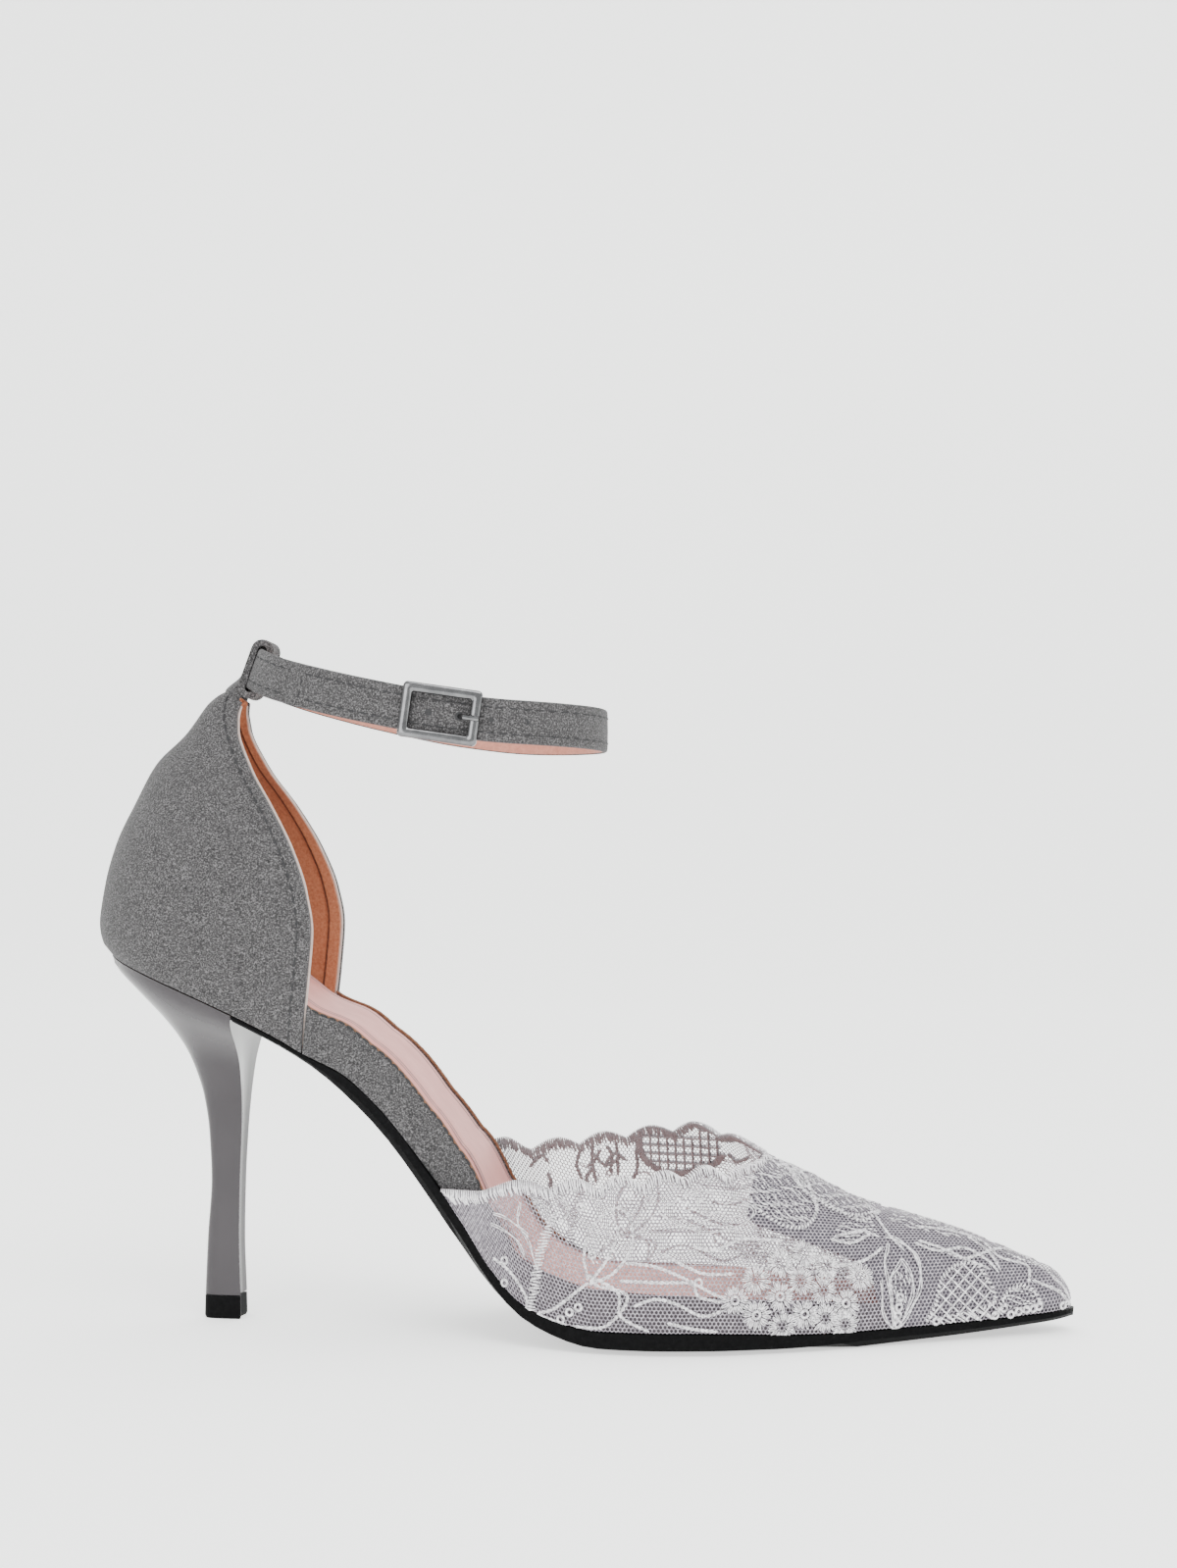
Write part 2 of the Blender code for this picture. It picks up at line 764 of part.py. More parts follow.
def vamp_stations():
    """Stations of the vamp, close where the scallops turn and at the tip."""
    throat = []
    for share in spread(0.0, 1.0, 40):
        throat.append(mix(VAMP_REAR, THROAT_FRONT, 1.0 - (1.0 - share) ** 1.15))
    toe = tip_stations(THROAT_FRONT, SHOE_LENGTH - FEATHER_INSET, 17, 6)
    return throat, toe[1:]


def build_vamp(material, parts):
    """Hollow forepart, open at the throat and underneath."""
    rows = 8
    throat, toe = vamp_stations()
    outer = []
    inner = []
    grid = []
    for x in throat + toe[:-1]:
        line = []
        for side in (-1, 1):
            reach = vamp_climb(x, side)
            climbs = [reach * i / rows for i in range(rows + 1)]
            if side > 0:
                climbs.reverse()
            column = []
            for climb in climbs:
                if side > 0 and climb == 1.0 and x >= THROAT_FRONT:
                    column.append(line[0][-1])
                    continue
                column.append(len(outer))
                outer.append(vamp_point(x, side, climb, 0.0))
                inner.append(vamp_point(x, side, climb, VAMP_WALL))
            line.append(column)
        grid.append(line)
    faces = []
    for before, after in zip(grid, grid[1:]):
        for side in range(2):
            for i in range(rows):
                faces.append(
                    (before[side][i], after[side][i], after[side][i + 1], before[side][i + 1])
                )
    tip = len(outer)
    outer.append(vamp_point(toe[-1], -1, 0.0, 0.0))
    inner.append(vamp_point(toe[-1], -1, 0.0, VAMP_WALL))
    for column in grid[-1]:
        for i in range(rows):
            faces.append((column[i], tip, column[i + 1]))
    return shell("vamp", outer, inner, faces, material, parts)


def strap_anchor():
    """Rear end and height of the strap, held by the top of the quarter."""
    _, _, front, front_z, _ = quarter_row(1.0)
    return front + STRAP_AHEAD, front_z + STRAP_ABOVE


def strap_frame(angle):
    """Centre, direction, width axis and outward axis of the strap; angle 0 is the back.

    A positive angle runs along the outer side, a negative one along the inner side.
    """
    rear, top = strap_anchor()

    def spot(turn):
        x = rear + 0.5 * STRAP_LENGTH_X * (1.0 - math.cos(turn))
        y = -0.5 * STRAP_SPAN_Y * math.sin(turn) * (1.0 - 0.12 * math.cos(turn))
        share = (x - rear) / STRAP_LENGTH_X
        z = top - STRAP_DROP * curve(STRAP_FALL, 1, share) - STRAP_TILT * y
        return Vector((x, y, z))

    step = 0.01
    here = spot(angle)
    ahead = (spot(angle + step) - spot(angle - step)).normalized()
    lean = STRAP_LEAN * (0.5 + 0.5 * math.cos(angle)) ** 2
    up = Vector((math.sin(lean), 0.0, math.cos(lean)))
    up = (up - ahead * up.dot(ahead)).normalized()
    out = ahead.cross(up).normalized()
    if out.dot(here - Vector((rear + 0.5 * STRAP_LENGTH_X, 0.0, here.z))) < 0.0:
        out = -out
    return here, ahead, up, out


def strap_layer(angle, start_angle):
    """How far the strap lies outside its middle loop: one thickness out past the buckle."""
    left = 2 * math.pi - (start_angle - angle)
    share = (STRAP_RISE_START - left) / (STRAP_RISE_START - STRAP_RISE_END)
    share = min(1.0, max(0.0, share))
    return (STRAP_THICK + CLEARANCE) * share * share * (3 - 2 * share)


def build_strap(material, parts, cutters):
    """Strap from the centre bar back through the loop, round the ankle and out of the buckle."""
    middle, ahead, _, _ = strap_frame(BUCKLE_ANGLE)
    reach = 0.5 * BUCKLE_PIN + CLEARANCE
    per_angle = (strap_frame(BUCKLE_ANGLE - 0.01)[0] - middle).length / 0.01
    start = BUCKLE_ANGLE - reach / per_angle
    end = FREE_END_ANGLE - 2 * math.pi
    rings = []
    count = 80
    length_left = 0.0
    previous = None
    angles = spread(start, end, count)
    for angle in reversed(angles):
        here, _, up, out = strap_frame(angle)
        if previous is not None:
            length_left += (here - previous).length
        previous = here
        offset = strap_layer(angle, BUCKLE_ANGLE)
        cut = STRAP_CORNER * (1.0 - rounding(length_left, STRAP_CORNER))
        half = 0.5 * STRAP_WIDTH - cut
        mid = here + out * offset
        thick = 0.5 * STRAP_THICK
        rings.append([
            mid + up * half,
            mid + up * (half - STRAP_EDGE) + out * thick,
            mid - up * (half - STRAP_EDGE) + out * thick,
            mid - up * half,
            mid - up * (half - STRAP_EDGE) - out * thick,
            mid + up * (half - STRAP_EDGE) - out * thick,
        ])
    rings.reverse()
    strap = loft("ankle_strap", rings, material, parts)
    layer = STRAP_THICK + CLEARANCE
    size = (SLOT_LENGTH, PRONG_THICK + SLOT_PLAY, 2 * layer)
    slot = box_at("strap_slot", SLOT_AHEAD, 0.0, layer, size, cutters)
    slot.hide_render = True
    slot.display_type = "WIRE"
    cut = strap.modifiers.new("prong hole", "BOOLEAN")
    cut.operation = "DIFFERENCE"
    cut.object = slot
    return strap


def on_buckle(along, across, out_by):
    """Point in the buckle's own axes: forward along the strap, up across it, and outwards."""
    here, ahead, up, out = strap_frame(BUCKLE_ANGLE)
    return here + ahead * along + up * across + out * out_by


def box_at(name, along, across, out_by, size, collection):
    """Box in the buckle's own axes."""
    bpy.ops.mesh.primitive_cube_add(size=1.0)
    box = bpy.context.active_object
    box.name = name
    for holder in list(box.users_collection):
        holder.objects.unlink(box)
    collection.objects.link(box)
    _, ahead, up, out = strap_frame(BUCKLE_ANGLE)
    spot = on_buckle(along, across, out_by)
    for corner in box.data.vertices:
        step = ahead * corner.co.x * size[0] + up * corner.co.y * size[1] + out * corner.co.z * size[2]
        corner.co = spot + step
    return box


def combine(body, tool, operation):
    """Cuts a tool out of a body, or joins it on."""
    tool.hide_render = True
    tool.display_type = "WIRE"
    change = body.modifiers.new(tool.name, "BOOLEAN")
    change.operation = operation
    change.object = tool


def build_buckle_frame(material, parts, cutters):
    """Rectangular frame over the strap, with its centre bar under the outer layer."""
    face = STRAP_THICK * 1.5 + 2 * CLEARANCE
    mid = face + 0.5 * BUCKLE_THICK
    frame = box_at("buckle_frame", 0.0, 0.0, mid, (BUCKLE_LENGTH, BUCKLE_HEIGHT, BUCKLE_THICK), parts)
    window = (BUCKLE_LENGTH - 2 * BUCKLE_BAR, BUCKLE_HEIGHT - 2 * BUCKLE_BAR, 3 * BUCKLE_THICK)
    opening = box_at("buckle_window", 0.0, 0.0, mid, window, cutters)
    combine(frame, opening, "DIFFERENCE")
    edges = frame.modifiers.new("soft edges", "BEVEL")
    edges.width = BUCKLE_EDGE
    edges.segments = 2
    edges.limit_method = "ANGLE"
    edges.angle_limit = math.radians(60.0)
    leg_wide = 0.5 * (BUCKLE_HEIGHT - STRAP_WIDTH) - CLEARANCE - BUCKLE_SHOULDER
    leg_foot = -0.5 * BUCKLE_PIN - BUCKLE_SHOULDER
    leg_middle = 0.5 * (mid + leg_foot)
    size = (BUCKLE_PIN + 2 * BUCKLE_SHOULDER, leg_wide, mid - leg_foot)
    for sign in (-1, 1):
        across = sign * (0.5 * BUCKLE_HEIGHT - BUCKLE_SHOULDER - 0.5 * leg_wide)
        combine(frame, box_at("buckle_leg", 0.0, across, leg_middle, size, cutters), "UNION")
    bar_size = (BUCKLE_PIN, BUCKLE_HEIGHT - 2 * BUCKLE_SHOULDER - leg_wide, BUCKLE_PIN)
    combine(frame, box_at("centre_bar", 0.0, 0.0, 0.0, bar_size, cutters), "UNION")
    frame.data.materials.append(material)
    return frame


def build_prong(material, parts):
    """Pin from the centre bar through the strap, its tip on the front bar."""
    lift = STRAP_THICK * 1.5 + 2 * CLEARANCE + BUCKLE_THICK + CLEARANCE + 0.5 * PRONG_THICK
    root = 0.5 * BUCKLE_PIN + CLEARANCE + 0.5 * PRONG_THICK
    tip = 0.5 * BUCKLE_LENGTH
    route = (
        (root, 0.0),
        (root + 1.1 * PRONG_THICK, 0.55 * PRONG_THICK),
        (0.30 * tip + root, 0.45 * lift),
        (0.44 * tip + root, 0.82 * lift),
        (0.60 * tip + root, lift),
        (tip, lift),
    )
    path = bpy.data.curves.new("buckle_prong", "CURVE")
    path.dimensions = "3D"
    path.bevel_depth = 0.5 * PRONG_THICK
    path.bevel_resolution = 2
    path.use_fill_caps = True
    line = path.splines.new("POLY")
    line.points.add(len(route) - 1)
    for point, (along, out_by) in zip(line.points, route):
        point.co = (*on_buckle(along, 0.0, out_by), 1.0)
    prong = bpy.data.objects.new("buckle_prong", path)
    path.materials.append(material)
    parts.objects.link(prong)
    return prong


def build_loop(material, parts):
    """Tab of the quarter, folded round the strap and following it."""
    half_out = 0.5 * STRAP_THICK + CLEARANCE
    half_up = 0.5 * STRAP_WIDTH + CLEARANCE - 0.6 * half_out
    turns = 8
    profile = []
    for sign in (1, -1):
        for i in range(turns + 1):
            angle = math.pi / 2 - math.pi * i / turns
            profile.append((sign * math.sin(angle), sign, sign * math.cos(angle)))
    per_angle = (strap_frame(0.01)[0] - strap_frame(0.0)[0]).length / 0.01
    swing = 0.5 * LOOP_WIDTH / per_angle
    slices = 4
    count = len(profile)
    points = []
    for angle in spread(-swing, swing, slices):
        here, _, up, out = strap_frame(angle)
        for reach in (half_out, half_out + LOOP_THICK):
            for push, sign, rise in profile:
                points.append(here + out * reach * push + up * (sign * half_up + reach * rise))
    faces = []
    for i in range(count):
        j = (i + 1) % count
        for k in range(slices):
            base = 2 * count * k
            after = base + 2 * count
            faces.append((base + i, base + j, after + j, after + i))
            faces.append((base + count + i, after + count + i, after + count + j, base + count + j))
        for base in (0, 2 * count * slices):
            faces.append((base + i, base + j, base + count + j, base + count + i))
    return add_object("strap_loop", points, faces, material, parts)


def stand_on_origin(parts):
    """Moves the whole shoe so that the origin lies under the middle of its box."""
    root = bpy.data.objects.new("shoe", None)
    parts.objects.link(root)
    bpy.context.view_layer.update()
    corners = []
    for piece in parts.objects:
        if piece.type in {"MESH", "CURVE"}:
            corners += [piece.matrix_world @ Vector(corner) for corner in piece.bound_box]
    low = [min(corner[axis] for corner in corners) for axis in range(3)]
    high = [max(corner[axis] for corner in corners) for axis in range(3)]
    root.location = (-0.5 * (low[0] + high[0]), -0.5 * (low[1] + high[1]), 0.0)
    for collection in bpy.data.collections:
        for piece in collection.objects:
            if piece is not root:
                piece.parent = root


def new_collection(name):
    """Collection in the open scene."""
    collection = bpy.data.collections.new(name)
    bpy.context.scene.collection.children.link(collection)
    return collection


def main():
    """Builds the shoe."""
    for leftover in list(bpy.data.objects):
        bpy.data.objects.remove(leftover, do_unlink=True)
    parts = new_collection("ankle strap pump")
    cutters = new_collection("cutters")
    suede = make_material("grey suede", (0.23, 0.23, 0.235), 0.85)
    black = make_material("black sole", (0.02, 0.02, 0.02), 0.35)
    lacquer = make_material("heel lacquer", (0.20, 0.185, 0.19), 0.15)
    sock = make_material("pink sock", (0.60, 0.42, 0.38), 0.5)
    lace = make_material("silver lace", (0.62, 0.60, 0.62), 0.6)
    steel = make_material("polished buckle", (0.75, 0.75, 0.76), 0.15, 1.0)
    build_outsole(black, parts)
    build_heel(lacquer, parts)
    build_heel_tip(black, parts)
    build_insole(sock, parts)
    build_band("waist_band_outer", -1, suede, parts)
    build_band("waist_band_inner", 1, suede, parts)
    build_quarter(suede, parts)
    build_vamp(lace, parts)
    build_loop(suede, parts)
    build_strap(suede, parts, cutters)
    build_buckle_frame(steel, parts, cutters)
    build_prong(steel, parts)
    stand_on_origin(parts)


main()
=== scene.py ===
"""Looks of the ankle strap pump: suede, satin, lacquer and lace on the CAD frame."""
import math

import bmesh
import bpy
import numpy as np
from mathutils import Matrix, Vector
from mathutils.bvhtree import BVHTree


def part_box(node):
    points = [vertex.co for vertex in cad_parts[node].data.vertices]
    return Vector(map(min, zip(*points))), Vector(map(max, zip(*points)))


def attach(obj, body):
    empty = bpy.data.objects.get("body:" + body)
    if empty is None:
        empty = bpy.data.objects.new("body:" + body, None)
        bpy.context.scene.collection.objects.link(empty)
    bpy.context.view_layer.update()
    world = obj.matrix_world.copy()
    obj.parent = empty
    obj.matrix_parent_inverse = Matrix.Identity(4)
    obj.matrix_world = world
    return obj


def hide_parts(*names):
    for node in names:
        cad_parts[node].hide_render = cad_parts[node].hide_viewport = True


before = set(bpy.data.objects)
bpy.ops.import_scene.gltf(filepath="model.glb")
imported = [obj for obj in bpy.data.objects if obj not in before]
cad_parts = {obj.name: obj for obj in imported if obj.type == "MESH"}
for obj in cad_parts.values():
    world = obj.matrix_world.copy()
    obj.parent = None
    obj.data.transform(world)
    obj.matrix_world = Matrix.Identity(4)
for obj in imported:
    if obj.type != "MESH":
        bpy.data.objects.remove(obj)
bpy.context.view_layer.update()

# Sizes of the last
SHOE_LENGTH = 0.236
SEAT_WIDTH = 0.046
WAIST_WIDTH = 0.039
BALL_WIDTH = 0.074
TOE_WIDTH = 0.0168
TOE_ROUND = 0.007
TOE_OFFSET = 0.004
SEAT_BACK = 0.0039
SEAT_ROUND = 0.025
HEEL_RISE = 0.0876
TOE_SPRING = 0.0038
THROAT_HEIGHT = 0.0363
ARCH_LIFT = 0.0012
SLOPE_STEP = 0.0005
SEAT_POWER = 2.2

# Thickness of the sole and the footbed
SOLE_SEAT = 0.0012
SOLE_WAIST = 0.0034
SOLE_BALL = 0.0050
SOLE_TOE = 0.0018
INSOLE_SEAT = 0.0120
INSOLE_WAIST = 0.0092
INSOLE_BALL = 0.0048
INSOLE_TOE = 0.0032
SOCK_CROWN = 0.12
SOCK_EASE = 0.8
SOCK_LIFT = 0.6

# Walls and the gap between pieces that touch
CLEARANCE = 0.0003
QUARTER_WALL = 0.0022
BAND_WALL = 0.0014
VAMP_WALL = 0.0011
TOE_WALL = 0.0020
FEATHER_INSET = 0.0004
VAMP_BULGE = 0.0011
VAMP_LEAST = 0.0008
SECTION_OUT = 2.35
SECTION_UP = 2.1

# Heel block and its top piece
BREAST_TOP = 0.0377
BREAST_HOLLOW = 0.0007
HEEL_TIP_HEIGHT = 0.0055
HEEL_SQUARE = 3.6
SEAT_FROM = 0.8
SEAT_OVER = 0.2
HEEL_STEPS = 10
HEEL_LEVELS = 90

# Upper
QUARTER_LENGTH = 0.057
QUARTER_HEIGHT = 0.0638
QUARTER_FRONT_HEIGHT = 0.0832
VAMP_REAR = 0.0876
THROAT_FRONT = 0.162
SCALLOP_DEPTH = 0.0024
BAND_FRONT = 0.118

# Ankle strap, its loop and its buckle
STRAP_WIDTH = 0.0102
STRAP_THICK = 0.0017
STRAP_CORNER = 0.0014
STRAP_LENGTH_X = 0.0850
STRAP_SPAN_Y = 0.0540
STRAP_AHEAD = 0.00280
STRAP_ABOVE = 0.00828
STRAP_DROP = 0.0152
STRAP_TILT = 0.045
STRAP_EGG = 0.12
TURN_STEP = 0.01
STRAP_LEAN = math.radians(20.0)
STRAP_RISE_START = math.radians(54.0)
STRAP_RISE_END = math.radians(17.0)
SLOT_AHEAD = 0.0042
LOOP_WIDTH = 0.0086
LOOP_THICK = 0.0016
BUCKLE_LENGTH = 0.0186
BUCKLE_HEIGHT = 0.0130
BUCKLE_BAR = 0.0023
BUCKLE_THICK = 0.0015
BUCKLE_PIN = 0.0016
BUCKLE_SHOULDER = 0.0002
BUCKLE_ANGLE = math.radians(100.0)
FREE_END_ANGLE = math.radians(47.0)

# Tread line: along the shoe, rise (share of HEEL_RISE), spring (share of TOE_SPRING)
TREAD_LINE = (
    (0.0165, 1.000, 0.00),
    (0.0650, 0.954, 0.00),
    (0.1610, 0.842, 0.00),
    (0.2410, 0.719, 0.00),
    (0.3000, 0.576, 0.00),
    (0.3585, 0.380, 0.00),
    (0.3890, 0.267, 0.00),
    (0.4200, 0.152, 0.00),
    (0.4500, 0.072, 0.00),
    (0.4770, 0.034, 0.00),
    (0.5050, 0.010, 0.00),
    (0.5300, 0.000, 0.00),
    (0.7290, 0.000, 0.00),
    (0.8560, 0.000, 0.29),
    (0.9540, 0.000, 0.71),
    (1.0000, 0.000, 1.00),
)

# Thickness of the sole: along the shoe, size
SOLE_THICKNESS = (
    (0.000, SOLE_SEAT),
    (0.225, SOLE_SEAT),
    (0.285, SOLE_WAIST),
    (0.410, SOLE_WAIST),
    (0.520, SOLE_BALL),
    (0.630, SOLE_BALL),
    (0.720, 0.80 * SOLE_BALL),
    (0.860, 0.58 * SOLE_BALL),
    (1.000, SOLE_TOE),
)

# Thickness of the footbed: along the shoe, size
INSOLE_THICKNESS = (
    (0.000, INSOLE_SEAT),
    (0.190, INSOLE_SEAT),
    (0.260, INSOLE_WAIST),
    (0.420, INSOLE_WAIST),
    (0.520, 1.25 * INSOLE_BALL),
    (0.600, INSOLE_BALL),
    (1.000, INSOLE_TOE),
)

# Outline: along the shoe, the width it follows, outer half and inner half as shares of it
OUTLINE = (
    (0.000, SEAT_WIDTH, 0.480, 0.480),
    (0.130, SEAT_WIDTH, 0.500, 0.500),
    (0.240, WAIST_WIDTH, 0.533, 0.508),
    (0.310, WAIST_WIDTH, 0.518, 0.477),
    (0.370, WAIST_WIDTH, 0.585, 0.523),
    (0.420, BALL_WIDTH, 0.365, 0.319),
    (0.480, BALL_WIDTH, 0.436, 0.378),
    (0.540, BALL_WIDTH, 0.489, 0.441),
    (0.590, BALL_WIDTH, 0.505, 0.478),
    (0.640, BALL_WIDTH, 0.492, 0.489),
    (0.690, BALL_WIDTH, 0.449, 0.459),
    (0.750, BALL_WIDTH, 0.384, 0.400),
    (0.820, BALL_WIDTH, 0.289, 0.303),
    (0.900, TOE_WIDTH, 0.810, 0.833),
    (0.955, TOE_WIDTH, 0.488, 0.512),
    (1.000, TOE_WIDTH, 0.262, 0.274),
)

# Swing of the centre line to the inner side: along the shoe, share of TOE_OFFSET
CENTRE_LINE = (
    (0.00, 0.00),
    (0.45, 0.00),
    (0.64, 0.14),
    (0.80, 0.52),
    (1.00, 1.00),
)

# Lift of the footbed's inner edge at the arch: along the shoe, share of ARCH_LIFT
ARCH = (
    (0.20, 0.0),
    (0.26, 0.8),
    (0.30, 1.0),
    (0.34, 0.8),
    (0.42, 0.0),
)

# Ridge of the vamp over the feather line: share of the throat behind its front (below 0) or of the
# toe ahead of it (above 0), share of THROAT_HEIGHT
RIDGE = (
    (-1.000, 1.650),
    (-0.690, 1.620),
    (-0.430, 1.470),
    (-0.160, 1.210),
    (0.000, 1.000),
    (0.135, 0.895),
    (0.324, 0.715),
    (0.451, 0.640),
    (0.639, 0.518),
    (0.764, 0.410),
    (0.888, 0.295),
    (1.000, 0.225),
)

# Topline of the vamp: share of the throat, outer and inner height over the feather line at the
# throat's front, as shares of THROAT_HEIGHT
TOPLINE = (
    (0.000, 0.845, 0.930),
    (0.125, 0.850, 1.025),
    (0.215, 0.860, 0.940),
    (0.330, 0.875, 0.962),
    (0.505, 0.895, 1.010),
    (0.660, 0.925, 1.053),
    (0.750, 0.942, 1.080),
    (0.850, 0.952, 1.050),
    (0.925, 0.955, 1.020),
    (1.000, 1.000, 1.000),
)

# Scallops on the outer and the inner topline: first valley (share of the throat), count, power
# that crowds them towards the throat's front
SCALLOPS = (
    (0.137, 6, 1.3),
    (0.215, 5, 1.0),
)

# Rows of the quarter: back x, back height, front x, front height, width
# (x as shares of QUARTER_LENGTH, heights as shares of QUARTER_HEIGHT and QUARTER_FRONT_HEIGHT)
QUARTER_ROWS = (
    (0.0684, 0.000, 0.953, 0.000, 1.00),
    (0.0300, 0.041, 0.963, 0.093, 1.03),
    (0.0158, 0.116, 0.981, 0.213, 1.06),
    (0.0404, 0.266, 0.995, 0.345, 1.06),
    (0.0877, 0.418, 0.970, 0.453, 1.02),
    (0.1667, 0.569, 0.905, 0.573, 0.92),
    (0.2562, 0.720, 0.807, 0.693, 0.76),
    (0.3807, 0.832, 0.700, 0.805, 0.54),
    (0.4824, 0.953, 0.630, 0.916, 0.38),
    (0.5281, 0.984, 0.625, 0.964, 0.30),
    (0.5667, 1.000, 0.635, 1.000, 0.22),
)

# Heel block: height (share of the breast), back x and breast x (shares of BREAST_TOP), half width
# as a share of SEAT_WIDTH
HEEL_ROWS = (
    (0.000, 0.700, 0.947, 0.076),
    (0.200, 0.716, 0.936, 0.072),
    (0.400, 0.740, 0.942, 0.074),
    (0.560, 0.727, 0.955, 0.082),
    (0.680, 0.695, 0.966, 0.111),
    (0.770, 0.640, 0.973, 0.163),
    (0.840, 0.568, 0.979, 0.224),
    (0.900, 0.470, 0.984, 0.293),
    (0.950, 0.330, 0.989, 0.380),
    (1.000, 0.103, 1.000, 0.485),
)

# Fall of the ankle strap from back to front: share of its length, share of STRAP_DROP
STRAP_FALL = (
    (0.000, 0.000),
    (0.082, 0.205),
    (0.208, 0.411),
    (0.386, 0.646),
    (0.557, 0.828),
    (0.767, 0.960),
    (1.000, 1.000),
)


def curve(rows, column, at):
    """Monotone cubic through one column of a table, held level past its ends."""
    xs = [row[0] for row in rows]
    ys = [row[column] for row in rows]
    if at <= xs[0]:
        return ys[0]
    if at >= xs[-1]:
        return ys[-1]
    rise = [(ys[i + 1] - ys[i]) / (xs[i + 1] - xs[i]) for i in range(len(xs) - 1)]
    slope = [0.0] * len(xs)
    for i in range(1, len(xs) - 1):
        if rise[i - 1] * rise[i] > 0.0:
            before = xs[i] - xs[i - 1]
            after = xs[i + 1] - xs[i]
            weight = 2.0 * after + before
            other = after + 2.0 * before
            slope[i] = (weight + other) / (weight / rise[i - 1] + other / rise[i])
    slope[0] = rise[0]
    slope[-1] = rise[-1]
    k = max(i for i in range(len(xs) - 1) if xs[i] <= at)
    span = xs[k + 1] - xs[k]
    t = (at - xs[k]) / span
    return (
        ys[k] * (1 + 2 * t) * (1 - t) ** 2
        + slope[k] * span * t * (1 - t) ** 2
        + ys[k + 1] * t * t * (3 - 2 * t)
        + slope[k + 1] * span * t * t * (t - 1)
    )


def mix(first, second, share):
    """Value between two values."""
    return first + (second - first) * share


def rounding(distance, radius, power=2.0):
    """Share of the full width at a distance from a rounded end."""
    if distance >= radius:
        return 1.0
    left = 1.0 - max(0.0, distance) / radius
    return (1.0 - left ** power) ** (1.0 / power)


def tread(x):
    """Height of the underside of the sole."""
    along = x / SHOE_LENGTH
    return curve(TREAD_LINE, 1, along) * HEEL_RISE + curve(TREAD_LINE, 2, along) * TOE_SPRING


def steepness(x):
    """How much longer the tread line is than its plan at x."""
    slope = (tread(x + SLOPE_STEP) - tread(x - SLOPE_STEP)) / (2 * SLOPE_STEP)
    return math.sqrt(1.0 + slope * slope)


def feather(x):
    """Height of the feather line, where the upper meets the sole."""
    return tread(x) + curve(SOLE_THICKNESS, 1, x / SHOE_LENGTH) * steepness(x)


def insole_top(x):
    """Height of the sock on the footbed."""
    return feather(x) + curve(INSOLE_THICKNESS, 1, x / SHOE_LENGTH) * steepness(x)


def arch_lift(x):
    """How much higher the footbed's inner edge lies at the arch."""
    return ARCH_LIFT * curve(ARCH, 1, x / SHOE_LENGTH)


def centre(x):
    """Y of the shoe's centre line."""
    return TOE_OFFSET * curve(CENTRE_LINE, 1, x / SHOE_LENGTH)


def full_half(x, side):
    """Half width of the outline before its ends are rounded; side is -1 outer, +1 inner."""
    column = 2 if side < 0 else 3
    rows = [(row[0], row[1] * row[column]) for row in OUTLINE]
    return curve(rows, 1, x / SHOE_LENGTH)


def half_width(x, side, back=SEAT_BACK, tip=SHOE_LENGTH):
    """Half width of the outline on one side."""
    ends = rounding(x - back, SEAT_ROUND, SEAT_POWER) * rounding(tip - x, TOE_ROUND)
    return full_half(x, side) * ends


def spread(start, end, count):
    """Evenly spaced values with both ends."""
    return [mix(start, end, i / count) for i in range(count + 1)]


def tip_stations(start, tip, count, steps):
    """Stations that run evenly up to the rounded tip and then close in on it."""
    stations = spread(start, tip - TOE_ROUND, count)
    for i in range(1, steps + 1):
        stations.append(tip - TOE_ROUND + TOE_ROUND * math.sin(math.pi / 2 * i / steps))
    return stations


def back_stations(back, end, steps, count):
    """Stations that open out from the rounded seat and then run evenly."""
    stations = []
    for i in range(steps):
        stations.append(back + SEAT_ROUND * (1.0 - math.cos(math.pi / 2 * i / steps)))
    return stations + spread(back + SEAT_ROUND, end, count)


def heel_ring(v, height):
    """Level of the heel block; the top level follows the seat."""
    back = curve(HEEL_ROWS, 1, v) * BREAST_TOP
    breast = curve(HEEL_ROWS, 2, v) * BREAST_TOP
    wide = curve(HEEL_ROWS, 3, v) * SEAT_WIDTH
    seat_share = max(0.0, (v - SEAT_FROM) / SEAT_OVER) ** 2
    square = mix(HEEL_SQUARE, SEAT_POWER, seat_share)
    flat = mix(HEEL_TIP_HEIGHT + CLEARANCE, height, v)

    def place(x, y):
        lift = (feather(x) - height) * v ** 4
        return Vector((x, y, flat + lift))

    side = []
    for i in range(HEEL_STEPS):
        angle = math.pi / 2 * (1.0 - i / HEEL_STEPS)
        x = mix(breast, back, math.cos(angle) ** (2.0 / square))
        level = wide * math.sin(angle) ** (2.0 / square)
        seat = half_width(x, -1) if x > SEAT_BACK else 0.0
        side.append((x, mix(level, seat, seat_share)))
    hollow = BREAST_HOLLOW * (1.0 - seat_share)
    ring = [place(breast - hollow, 0.0), place(breast - 0.5 * hollow, -0.5 * side[0][1])]
    ring += [place(x, -y) for x, y in side]
    ring.append(place(back, 0.0))
    ring += [place(x, y) for x, y in reversed(side)]
    ring.append(place(breast - 0.5 * hollow, 0.5 * side[0][1]))
    return ring


def insole_inset(x):
    """How far the footbed's edge lies inside the outline."""
    quarter_end = QUARTER_ROWS[0][2] * QUARTER_LENGTH
    under_quarter = QUARTER_WALL + CLEARANCE
    in_band = band_inset(x) + BAND_WALL + CLEARANCE
    in_vamp = FEATHER_INSET + VAMP_WALL + 4 * CLEARANCE
    rows = (
        (quarter_end, under_quarter),
        (quarter_end + 0.004, in_band),
        (BAND_FRONT, in_band),
        (BAND_FRONT + 0.006, in_vamp),
    )
    return curve(rows, 1, x)


